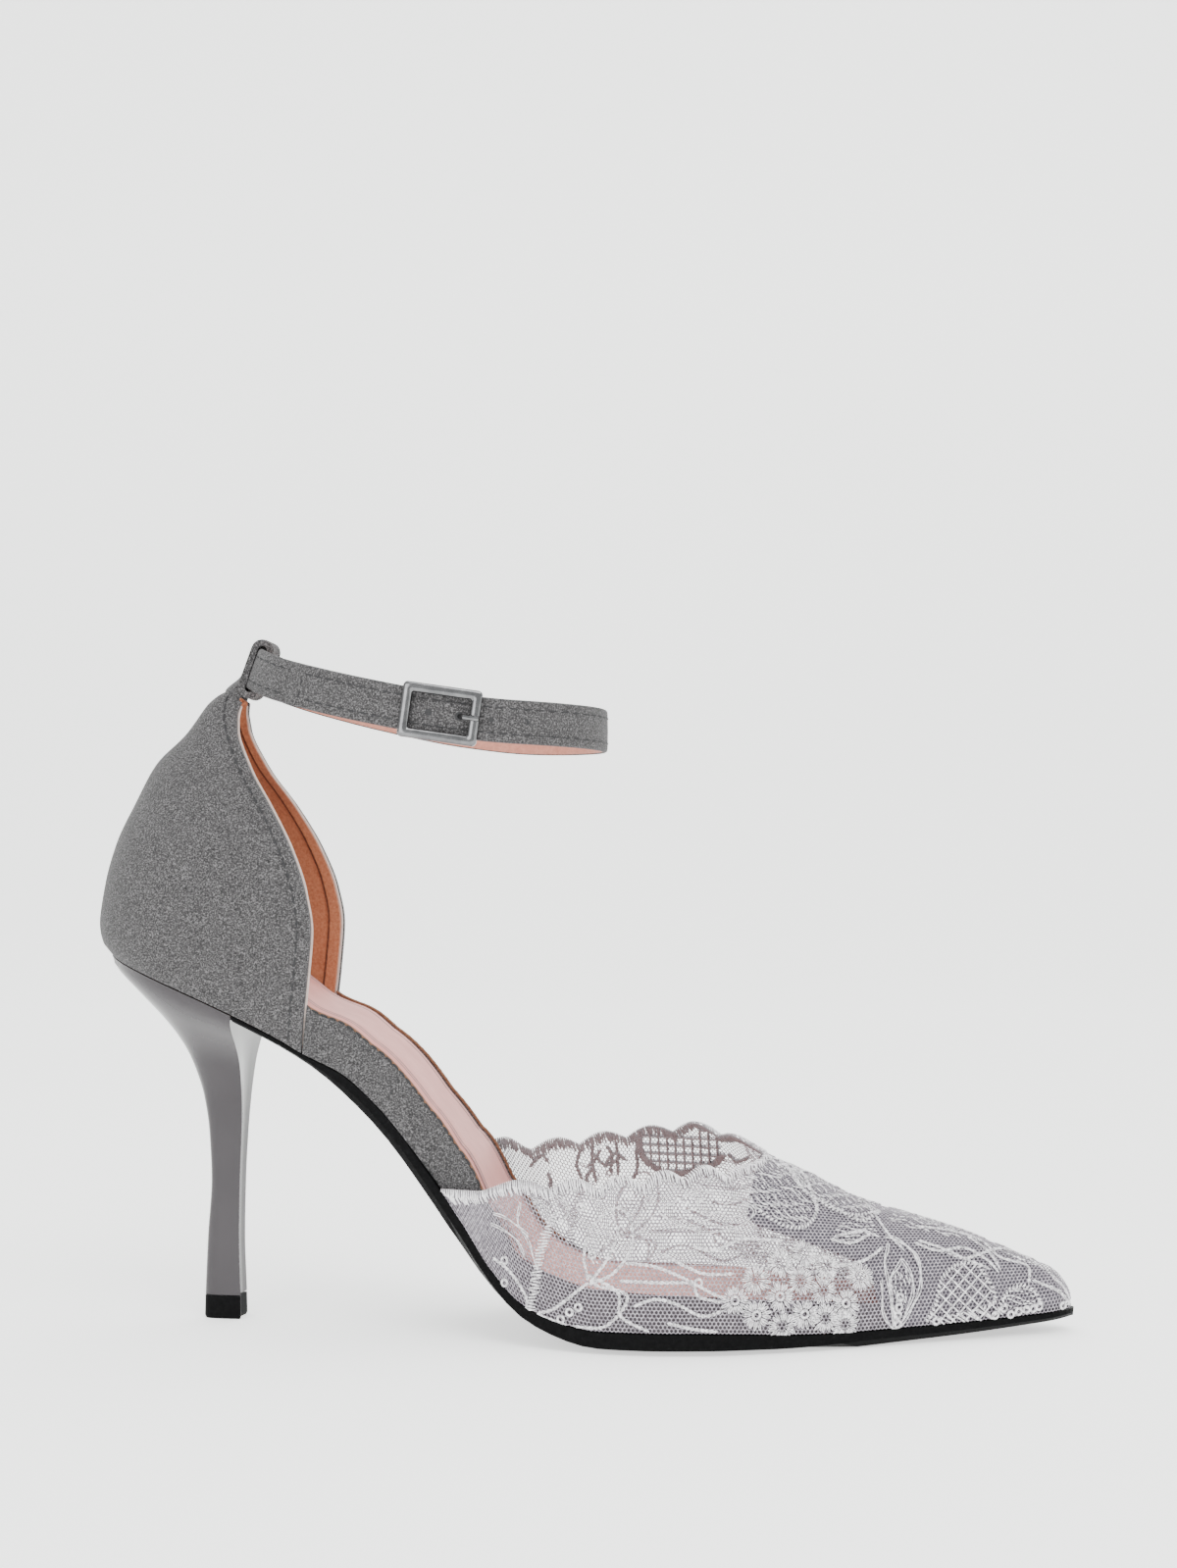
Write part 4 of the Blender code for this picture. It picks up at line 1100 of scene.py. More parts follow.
def build_rim_cords():
    """Rust cord with dark stitches between the waist band and the sock."""
    cord = Threads()
    dark = Threads()
    for side in (-1, 1):
        path = []
        under = []
        for x in spread(QUARTER_ROWS[0][2] * QUARTER_LENGTH + 0.0006, RIM_END, 300):
            face = half_width(x, side) - band_inset(x)
            lift = 0.5 * arch_lift(x) if side > 0 else 0.0
            y = centre(x) + side * (face - BAND_WALL + 0.0002)
            path.append(Vector((x, y, insole_top(x) + lift - 0.00025)))
            under.append(Vector((x, y + side * 0.0006, insole_top(x) + lift - 0.00022)))
        cord.tube(path[::3], RIM_CORD)
        stitch_row(dark, under, *RIM_STITCH)
    cord.done("rim_cord", RUST, "pink sock")
    dark.done("rim_stitches", DARK_THREAD_AND_HOLE_SHADE, "pink sock")


def tongue_foot(y, inset):
    """Point near the top of the counter's back at that distance from the middle."""
    side = -1 if y < 0 else 1
    low = 0.0
    high = 0.8
    for _ in range(24):
        share = 0.5 * (low + high)
        if abs(quarter_point(TONGUE_ROOT, share, side, inset).y) < abs(y):
            low = share
        else:
            high = share
    return quarter_point(TONGUE_ROOT, 0.5 * (low + high), side, inset)


def build_tongue():
    """Tab that runs from the top of the counter up into its loop round the strap."""
    half_out = 0.5 * STRAP_THICK + CLEARANCE
    half_up = 0.5 * STRAP_WIDTH + CLEARANCE - 0.6 * half_out
    swing = 0.5 * LOOP_WIDTH / strap_pace(0.0)
    skins = [[], []]
    for t in spread(0.0, 1.0, TONGUE_ROWS):
        ease = t * t * (3.0 - 2.0 * t)
        for turn in spread(-swing, swing, TONGUE_COLUMNS):
            here, _, up, out = strap_frame(turn)
            low = here - up * (0.45 * half_up)
            for k, reach in enumerate((half_out + LOOP_THICK + 0.00006, half_out + 0.0001)):
                high = low + out * reach
                foot = tongue_foot(high.y, 0.8 * QUARTER_WALL * k)
                spot = foot.lerp(high, t)
                spot.x = mix(foot.x, high.x, ease)
                skins[k].append(spot)
    tab = wall(*skins, grid_faces(TONGUE_ROWS, TONGUE_COLUMNS, flip=True))
    closed_piece("counter_tongue", *tab, SUEDE, "grey suede", (), 50.0)


# Section of the buckle's frame: share from its outer to its inner side, share of its thickness
BUCKLE_PROFILE = (
    (0.0, 0.0), (0.0, 0.60), (0.05, 0.80), (0.15, 0.94), (0.30, 1.0), (0.70, 1.0), (0.85, 0.94), (0.95, 0.80),
    (1.0, 0.60), (1.0, 0.0), (0.0, 0.0),
)
CORNER_STEPS = 6
LEG_BITE = 0.0004


def build_buckle():
    """Polished frame with rolled edges, its legs and its centre bar."""
    face = STRAP_THICK * 1.5 + 2 * CLEARANCE
    around = []
    for quadrant, (sx, sy) in enumerate(((1, 1), (-1, 1), (-1, -1), (1, -1))):
        for k in range(CORNER_STEPS + 1):
            turn = math.pi / 2 * (quadrant + k / CORNER_STEPS)
            around.append((sx, sy, math.cos(turn), math.sin(turn)))
    points = []
    for share, height in BUCKLE_PROFILE:
        for sx, sy, c, s in around:
            ends = []
            for inset, radius in ((0.0, BUCKLE_ROUND), (BUCKLE_BAR, 0.4 * BUCKLE_ROUND)):
                ends.append((sx * (0.5 * BUCKLE_LENGTH - inset - radius) + radius * c,
                             sy * (0.5 * BUCKLE_HEIGHT - inset - radius) + radius * s))
            points.append(on_buckle(mix(ends[0][0], ends[1][0], share), mix(ends[0][1], ends[1][1], share),
                                    face + height * BUCKLE_THICK))
    faces = grid_faces(len(BUCKLE_PROFILE) - 1, len(around), closed=True)
    leg = 0.5 * (BUCKLE_HEIGHT - STRAP_WIDTH) - CLEARANCE - BUCKLE_SHOULDER
    blocks = [((0.0, 0.0, 0.0), (BUCKLE_PIN, BUCKLE_HEIGHT - 2 * BUCKLE_SHOULDER - leg, BUCKLE_PIN))]
    low = -0.5 * BUCKLE_PIN
    for sign in (-1, 1):
        across = sign * (0.5 * BUCKLE_HEIGHT - BUCKLE_SHOULDER - 0.5 * leg)
        middle = (0.0, across, 0.5 * (low + face + LEG_BITE))
        blocks.append((middle, (BUCKLE_PIN, leg, face + LEG_BITE - low)))
    for (ax, ay, az), (lx, ly, lz) in blocks:
        base = len(points)
        for i in range(8):
            points.append(on_buckle(ax + lx * ((i & 1) - 0.5), ay + ly * ((i >> 1 & 1) - 0.5),
                                    az + lz * ((i >> 2 & 1) - 0.5)))
        for quad in ((0, 1, 3, 2), (4, 6, 7, 5), (0, 4, 5, 1), (2, 3, 7, 6), (0, 2, 6, 4), (1, 5, 7, 3)):
            faces.append(tuple(base + i for i in quad))
    closed_piece("buckle_plate", points, faces, STEEL, "polished buckle", ("buckle_frame",), 28.0)


def strap_point(angle, up_by, out_by):
    """Point on the strap, layers included."""
    here, _, up, out = strap_frame(angle)
    return here + up * up_by + out * (out_by + strap_layer(angle, BUCKLE_ANGLE))


# Punched holes of the strap, each drawn as a dark disc of painted shade: distance ahead of the buckle's bar,
# radius
STRAP_HOLES = ((-0.0026, 0.00080), (SLOT_AHEAD, 0.0010), (0.0117, 0.00062), (0.0203, 0.00075))
STRAP_STATIONS = 420
STRAP_TUCK = 0.03
STRAP_STITCH_IN = 0.0021


def build_strap():
    """Suede strap with its salmon lining, stitches, and dark discs of painted shade where its holes are punched.
    """
    half = 0.5 * STRAP_WIDTH
    thick = 0.5 * STRAP_THICK
    split = -0.35 * thick
    suede = (
        (half - 0.0008, thick), (0.0, thick + 0.00008), (-half + 0.0008, thick),
        (-half + 0.0002, thick - 0.0002), (-half, 0.3 * thick), (-half + 0.00005, split),
        (half - 0.00005, split), (half, 0.3 * thick), (half - 0.0002, thick - 0.0002),
    )
    lining = (
        (half - 0.00025, split), (-half + 0.00025, split), (-half + 0.0003, -thick + 0.0002),
        (-half + 0.0006, -thick), (half - 0.0006, -thick), (half - 0.0003, -thick + 0.0002),
    )
    angles = spread(BUCKLE_ANGLE - STRAP_TUCK, FREE_END_ANGLE - 2 * math.pi, STRAP_STATIONS)
    lengths = [0.0]
    for before, after in zip(angles, angles[1:]):
        lengths.append(lengths[-1] + (strap_frame(before)[0] - strap_frame(after)[0]).length)
    for name, profile, look in (("strap_suede", suede, SUEDE), ("strap_lining", lining, SALMON)):
        rings = []
        for angle, length in zip(angles, lengths):
            left = lengths[-1] - length
            cut = STRAP_CORNER * (1.0 - rounding(left, STRAP_CORNER))
            shrink = (half - cut) / half
            rings.append([strap_point(angle, up * shrink, out) for up, out in profile])
        replaced = ("ankle_strap",) if name == "strap_suede" else ()
        closed_piece(name, *loft_points(rings), look, "grey suede", replaced, 40.0)
    dark = Threads()
    reach = half - STRAP_STITCH_IN
    for up_by in (-reach, reach):
        path = [strap_point(angle, up_by, thick + 0.00002) for angle in angles[6:-6]]
        stitch_row(dark, path, *STRAP_STITCH)
    across = [strap_point(angles[-7], up_by, thick + 0.00002) for up_by in spread(-reach, reach, 30)]
    stitch_row(dark, across, *STRAP_STITCH)
    # Each hole is a dark disc of painted shade, not an opening.
    hole_shade = Threads()
    for ahead, wide in STRAP_HOLES:
        angle = BUCKLE_ANGLE - 2 * math.pi + ahead / strap_pace(BUCKLE_ANGLE)
        spot = strap_point(angle, 0.0, thick)
        _, _, _, out = strap_frame(angle)
        hole_shade.tube([spot - out * 0.0003, spot + out * 0.00008], wide, sides=14, taper=1.0)
    dark.done("strap_stitches", DARK_THREAD_AND_HOLE_SHADE, "grey suede")
    hole_shade.done("strap_hole_shade", DARK_THREAD_AND_HOLE_SHADE, "grey suede")


# Grid of the forepart's surface: stations up to the tip's last stretch and along it, steps up the side
SKIN_STATIONS = 150
SKIN_TIP = 0.012
SKIN_TIP_STATIONS = 24
SKIN_CLIMBS = 44
SKIN_SHORT = 0.0004


class Skin:
    """Outer surface of the vamp, both sides, for laying net and thread on it."""

    def __init__(self):
        tip = SHOE_LENGTH - FEATHER_INSET - SKIN_SHORT
        self.xs = spread(VAMP_REAR, tip - SKIN_TIP, SKIN_STATIONS)
        for i in range(1, SKIN_TIP_STATIONS + 1):
            self.xs.append(tip - SKIN_TIP + SKIN_TIP * math.sin(math.pi / 2 * i / SKIN_TIP_STATIONS))
        self.climbs = [i / SKIN_CLIMBS for i in range(SKIN_CLIMBS + 1)]
        points = []
        faces = []
        self.sheet = {}
        for side in (-1, 1):
            base = len(points)
            rows = [[vamp_point(x, side, climb, 0.0) for climb in self.climbs] for x in self.xs]
            self.sheet[side] = np.array([[tuple(spot) for spot in row] for row in rows])
            points += [spot for row in rows for spot in row]
            faces += grid_faces(len(self.xs) - 1, len(self.climbs) - 1, base, flip=side < 0)
        self.tree = BVHTree.FromPolygons(points, faces)

    def drape(self, spot, lift=0.0):
        """Nearest point of the surface, lifted outwards, and the normal there."""
        near, normal, _, _ = self.tree.find_nearest(spot)
        away = Vector((0.0, near.y - centre(near.x), 0.3 * (near.z - 0.01)))
        if normal.dot(away) < 0.0:
            normal = -normal
        return near + normal * lift, normal

    def land(self, px, py, far=False):
        """Point of the surface behind a place of the photograph."""
        ahead = Vector((-math.sin(YAW), math.cos(YAW), 0.0))
        right = Vector((math.cos(YAW), math.sin(YAW), 0.0))
        ray = ahead + right * ((px - PHOTO_WIDTH / 2) / PHOTO_FOCAL)
        ray.z = (PHOTO_HEIGHT / 2 - py) / PHOTO_FOCAL
        ray.normalize()
        origin = CAMERA_SPOT - PLACE
        hit = self.tree.ray_cast(origin, ray)
        if far and hit[0] is not None:
            again = self.tree.ray_cast(hit[0] + ray * 0.004, ray)
            hit = again if again[0] is not None else hit
        if hit[0] is None:
            step = origin + ray * (CAMERA_REACH - 0.01)
            return self.tree.find_nearest(step)[0]
        return hit[0]


SKIN = Skin()


# Radius of the outlining stitches, step of an outline in the photograph's pixels, petals of a daisy
ROPE_RADIUS = 0.00030
OUTLINE_STEP = 4.0
DAISY_PETALS = 17
PETAL_THREAD = 0.00019


def covered(spot):
    """Whether the lace reaches this point of the surface."""
    if spot.x >= THROAT_FRONT:
        return True
    side = -1 if spot.y < centre(spot.x) else 1
    return spot.z < topline(spot.x, side) - 0.0001


def mirrored(spot):
    """The same place on the other side of the shoe."""
    return Vector((spot.x, 2.0 * centre(spot.x) - spot.y, spot.z))


def lay(threads, path, radius, lift=0.00018):
    """Lays a tube on the lace, broken where the lace ends."""
    run = []
    for spot in path:
        if covered(spot):
            run.append(SKIN.drape(spot, threads.way * lift)[0])
        else:
            threads.tube(run, radius)
            run = []
    threads.tube(run, radius)


def sides_of(points, both):
    """Landed points, and their mirror images where a motif is on both sides."""
    sets = [points]
    if both:
        sets.append([mirrored(spot) for spot in points])
    return sets


def landed(places, far=False):
    """Surface points behind places of the photograph."""
    return [SKIN.land(px, py, far) for px, py in places]


def stem(threads, places, radius=0.00017, both=True, far=False, twist=True):
    """Couched stem: a strand with two more that cross over it again and again."""
    for points in sides_of(landed(places, far), both):
        path = smooth_path(points, 0.0005)
        lay(threads, path, radius)
        for strand in (-1.0, 1.0) if twist else (1.0,):
            crossing = []
            for i, (before, after) in enumerate(zip(path, path[1:])):
                cross = SKIN.drape(before)[1].cross(after - before).normalized()
                reach = 0.00032 if twist else 0.00034 + 0.00022 * math.sin(0.42 * i)
                wave = math.sin(1.45 * i + 0.6 * wobble(i // 5, 4.0)) if twist else 1.0
                crossing.append(before + cross * (strand * reach * wave))
            lay(threads, crossing, 0.95 * radius, 0.00030 + 0.00006 * strand)


def rope(threads, places, both=True, far=False, closed=False, reach=0.00055, pitch=0.00100):
    """Outline of short slanting stitches, each apart from the next."""
    if closed:
        places = list(places) + [places[0]]
    for points in sides_of(landed(places, far), both):
        path = smooth_path(points, pitch)
        for i, (before, after) in enumerate(zip(path, path[1:])):
            if not covered(before):
                continue
            spot, normal = SKIN.drape(before)
            ahead = (after - before).normalized()
            cross = normal.cross(ahead).normalized()
            slant = (cross + ahead * (0.55 + 0.2 * wobble(i, 7.0))).normalized() * reach
            lay(threads, [spot - slant, spot, spot + slant], ROPE_RADIUS, 0.00028)


def inside(point, outline):
    """Whether a place lies in an outline of places."""
    x, y = point
    hit = False
    for (ax, ay), (bx, by) in zip(outline, outline[1:] + outline[:1]):
        if (ay > y) != (by > y) and x < (bx - ax) * (y - ay) / (by - ay) + ax:
            hit = not hit
    return hit


def rounded(places):
    """Smooth closed outline of places in the photograph."""
    ring = [Vector((px, py, 0.0)) for px, py in places]
    path = smooth_path(ring[-2:] + ring + ring[:2], OUTLINE_STEP)
    start = min(range(len(path)), key=lambda i: (path[i] - ring[0]).length)
    end = min(range(start + 3, len(path)), key=lambda i: (path[i] - ring[0]).length)
    return [(spot.x, spot.y) for spot in path[start:end]]


def field(places):
    """Outline of places, its middle and how far it reaches from there."""
    outline = rounded(places)
    cx = sum(p[0] for p in outline) / len(outline)
    cy = sum(p[1] for p in outline) / len(outline)
    return outline, cx, cy, max(math.hypot(p[0] - cx, p[1] - cy) for p in outline)


def filled(threads, places, angle, pitch, length, gap, radius, wave=1.2):
    """Rows of stitches that fill an outline; lengths are in the photograph's pixels."""
    outline, cx, cy, reach = field(places)
    along = (math.cos(angle), math.sin(angle))
    row = -reach
    index = 0
    while row < reach:
        place = -reach + (index % 2) * 0.5 * (length + gap)
        while place < reach:
            marks = []
            long = length * (1.0 + 0.35 * wobble(index + 0.37 * place, 8.0))
            for part in (0.0, 0.5, 1.0):
                t = place + long * part
                bend = wave * math.sin(0.24 * t + 1.3 * index) + 0.35 * pitch * wobble(index, 9.0)
                marks.append((cx + along[0] * t - along[1] * (row + bend),
                              cy + along[1] * t + along[0] * (row + bend)))
            if all(inside(mark, outline) for mark in marks):
                for points in sides_of(landed(marks), True):
                    lay(threads, points, radius, 0.00022 + 0.0001 * (index % 3))
            place += length + gap
        row += pitch
        index += 1


def lattice(threads, places, pitch, angles, radius=0.00022, both=True, far=False):
    """Crossing threads inside an outline."""
    outline, cx, cy, reach = field(places)
    for angle in angles:
        row = -reach
        while row < reach:
            marks = []
            for k in range(60):
                t = mix(-reach, reach, k / 59)
                mark = (cx + math.cos(angle) * t - math.sin(angle) * row,
                        cy + math.sin(angle) * t + math.cos(angle) * row)
                if inside(mark, outline):
                    marks.append(mark)
            if len(marks) > 2:
                for points in sides_of(landed(marks, far), both):
                    lay(threads, points, radius, 0.00035)
            row += pitch


def daisy(threads, px, py, hollow, reach, beads):
    """Flower of satin loops round an open middle, with a ring there where beads are given."""
    for spot in [group[0] for group in sides_of(landed([(px, py)]), True)]:
        middle, normal = SKIN.drape(spot)
        first = normal.cross(Vector((0.0, 0.0, 1.0))).normalized()
        second = normal.cross(first)
        for i in range(DAISY_PETALS):
            turn = 2 * math.pi * (i + 0.22 * wobble(i, px)) / DAISY_PETALS
            away = first * math.cos(turn) + second * math.sin(turn)
            cross = first * -math.sin(turn) + second * math.cos(turn)
            out = reach * (1.0 + 0.12 * wobble(i, py))
            for lean in (-0.00024, 0.00024):
                lay(threads, [middle + away * hollow + cross * 0.4 * lean,
                              middle + away * (0.5 * (hollow + out)) + cross * lean,
                              middle + away * out + cross * 0.8 * lean], PETAL_THREAD, 0.00032)
            lay(threads, [middle + away * out - cross * 0.00022, middle + away * (out + 0.00018),
                          middle + away * out + cross * 0.00022], PETAL_THREAD, 0.00030)
            lay(threads, [middle + away * (0.60 * hollow), middle + away * (1.10 * hollow)], 0.00012, 0.0002)
        if beads:
            centre_spot, up = SKIN.drape(middle, 0.0003)
            beads.ring(centre_spot, up, 0.00082, 0.00030)


# Net: distance between knots, width and height of a thread, ways from a knot in shares of the distance
NET_PITCH = 0.00098
NET_THREAD = 0.00015
NET_CREST = 0.00009
NET_SPREAD = 1.6
NET_WAYS = ((0.5, 0.2887), (-0.5, 0.2887), (0.0, -0.5774))


def build_net():
    """Hexagonal net over the whole forepart."""
    for side, label in ((-1, "outer"), (1, "inner")):
        sheet = SKIN.sheet[side]
        low = sheet[:, 6, :]
        s_axis = np.concatenate([[0.0], np.cumsum(np.linalg.norm(np.diff(low, axis=0), axis=1))])
        climbed = np.cumsum(np.linalg.norm(np.diff(sheet, axis=1), axis=2), axis=1)
        climb_axis = np.concatenate([np.zeros((len(SKIN.xs), 1)), climbed], axis=1)
        tallest = float(climb_axis[:, -1].max())
        long = float(s_axis[-1])
        count_s = int(long / NET_PITCH) + 2
        count_t = int(tallest / (NET_PITCH * math.sqrt(3) / 2)) + 2

        def spot(s, t):
            if s < 0.0 or s > long or t < 0.0:
                return None
            at = float(np.interp(s, s_axis, np.arange(len(s_axis))))
            i = min(int(at), len(s_axis) - 2)
            f = at - i
            reach = climb_axis[i] * (1 - f) + climb_axis[i + 1] * f
            if t > reach[-1]:
                return None
            c = float(np.interp(t, reach, np.arange(len(reach))))
            j = min(int(c), len(reach) - 2)
            g = c - j
            value = ((sheet[i, j] * (1 - g) + sheet[i, j + 1] * g) * (1 - f)
                     + (sheet[i + 1, j] * (1 - g) + sheet[i + 1, j + 1] * g) * f)
            made = Vector(value)
            return made if covered(made) else None

        points = []
        faces = []
        for row in range(count_t):
            for column in range(-count_t // 2 - 1, count_s + 1):
                s = column * NET_PITCH + 0.5 * row * NET_PITCH
                if s < -NET_PITCH or s > long + NET_PITCH:
                    continue
                t = row * NET_PITCH * math.sqrt(3) / 2
                root = spot(s, t)
                if root is None:
                    continue
                for ds, dt in NET_WAYS:
                    end = spot(s + ds * NET_PITCH, t + dt * NET_PITCH)
                    if end is None:
                        continue
                    out = Vector((0.0, root.y - centre(root.x), 0.6 * (root.z - 0.01))).normalized()
                    cross = (end - root).cross(out).normalized() * (0.5 * NET_THREAD * NET_SPREAD)
                    base = len(points)
                    points += [root - cross, end - cross, root + cross, end + cross,
                               root + out * NET_CREST, end + out * NET_CREST]
                    faces += [(base, base + 1, base + 5, base + 4), (base + 4, base + 5, base + 3, base + 2)]
        piece("net_" + label, points, faces, NET, "silver lace", ("vamp",), 0.0)


# Rear edge of the toe's lining in the photograph, its stations and its depth under the net
LINING_EDGE = ((738, 1188), (742, 1225), (775, 1250), (830, 1262), (868, 1275), (892, 1305), (905, 1352))
LINING_STATIONS = 90
LINING_DEPTH = 0.0005


def build_toe_lining():
    """Opaque lilac lining of the toe, with its slanting rear edge."""
    edge = sorted((spot.z - feather(spot.x), spot.x) for spot in landed(LINING_EDGE))
    tip = SHOE_LENGTH - FEATHER_INSET - LINING_DEPTH
    for side, label in ((-1, "outer"), (1, "inner")):
        rows = []
        for i in range(LINING_STATIONS + 1):
            row = []
            for climb in SKIN.climbs:
                guess = THROAT_FRONT
                for _ in range(4):
                    height = vamp_point(guess, side, climb, 0.0).z - feather(guess)
                    guess = float(np.interp(height, [h for h, _ in edge], [x for _, x in edge]))
                    guess = max(guess, THROAT_FRONT - 0.004 * (1.0 - climb))
                x = mix(guess, tip, math.sin(math.pi / 2 * i / LINING_STATIONS))
                row.append(vamp_point(x, side, climb, LINING_DEPTH))
            rows.append(row)
        outer = [spot for row in rows for spot in row]
        inner = [spot + Vector((-0.0003, -side * LINING_DEPTH, -0.0003)) for spot in outer]
        lining = wall(outer, inner, grid_faces(LINING_STATIONS, SKIN_CLIMBS, flip=side < 0))
        piece("toe_lining_" + label, *lining, LINING, "silver lace")


# Sheet of painted shade under the outer net: share of its length and height, stations, steps up, depths of its two
# faces
SHADE_SHEET_HEIGHTS = ((0.0, 0.0070), (0.25, 0.0060), (0.55, 0.0050), (0.85, 0.0045), (1.0, 0.0035))
SHADE_SHEET_STATIONS = 80
SHADE_SHEET_STEPS = 8
SHADE_SHEET_DEPTHS = (0.0005, 0.0009)


def build_painted_shade_sheet():
    """Dark sheet of painted shade, seen through the net just above the sole on the outer side, where the inside of
    the shoe lies in shade.
    """
    skins = [[], []]
    for i in range(SHADE_SHEET_STATIONS + 1):
        share = i / SHADE_SHEET_STATIONS
        x = mix(VAMP_REAR + 0.0030, THROAT_FRONT + 0.030, share)
        whole = max(0.004, vamp_point(x, -1, 1.0, 0.0).z - vamp_point(x, -1, 0.0, 0.0).z)
        most = min(0.7 * vamp_climb(x, -1), curve(SHADE_SHEET_HEIGHTS, 1, share) / whole)
        for j in range(SHADE_SHEET_STEPS + 1):
            for k, depth in enumerate(SHADE_SHEET_DEPTHS):
                skins[k].append(vamp_point(x, -1, most * j / SHADE_SHEET_STEPS, depth))
    shade_sheet = wall(*skins, grid_faces(SHADE_SHEET_STATIONS, SHADE_SHEET_STEPS, flip=True))
    piece("painted_shade_sheet", *shade_sheet, SHADOW, "silver lace")


# Satin border: depth below the topline, lean, radius of its threads and of their backs, and the
# distance between them along the side and at the throat's front
BORDER_DEPTH = 0.0027
BORDER_LEAN = 0.0007
BORDER_THREAD = 0.00021
BACKING_THREAD = 0.00030
BORDER_PITCH = 0.00046
BORDER_FRONT_PITCH = 0.0003


def build_borders():
    """Satin border along both scalloped toplines and the seam to the waist band."""
    # The outer border, on the lit side, is drawn in a brighter copy of the thread as painted light; the inner one
    # is drawn in plain thread.
    for side, label, look in ((-1, "outer", LIT_BORDER_THREAD), (1, "inner", THREAD)):
        satin = Threads()
        shade = Threads()
        index = 0
        x = VAMP_REAR + 0.0006
        while x < THROAT_FRONT + 0.0006:
            top = topline(min(x, THROAT_FRONT - 0.0001), side)
            climb = vamp_climb(min(x, THROAT_FRONT - 0.00001), side)
            here = vamp_point(x, side, climb, 0.0)
            deep = BORDER_DEPTH + 0.0005 * wobble(index, 1.0) + 0.0004 * math.sin(0.19 * index)
            lean = BORDER_LEAN + 0.0005 * wobble(index, 3.0)
            marks = (
                Vector((x + lean, here.y + side * 0.0004, max(top - deep, feather(x) + 0.0006))),
                Vector((x + 0.5 * lean, here.y, 0.0)),
                Vector((x, here.y, top + 0.0002)),
            )
            marks[1].z = 0.5 * (top + marks[0].z)
            # The backs lie inside in painted shade, so the gaps between the stitches read dark.
            for threads, radius, lifts in (
                (satin, BORDER_THREAD, (0.0002, 0.0009, 0.0003)),
                (shade, BACKING_THREAD, (-0.0002, -0.0003, -0.0001)),
            ):
                threads.tube([SKIN.drape(mark, lift)[0] for mark, lift in zip(marks, lifts)], radius)
            x += BORDER_PITCH if x < THROAT_FRONT - 0.002 else BORDER_FRONT_PITCH
            index += 1
        satin.done("topline_border_" + label, look, "silver lace")
        shade.done("topline_backing_" + label, SHADE_THREAD, "silver lace")


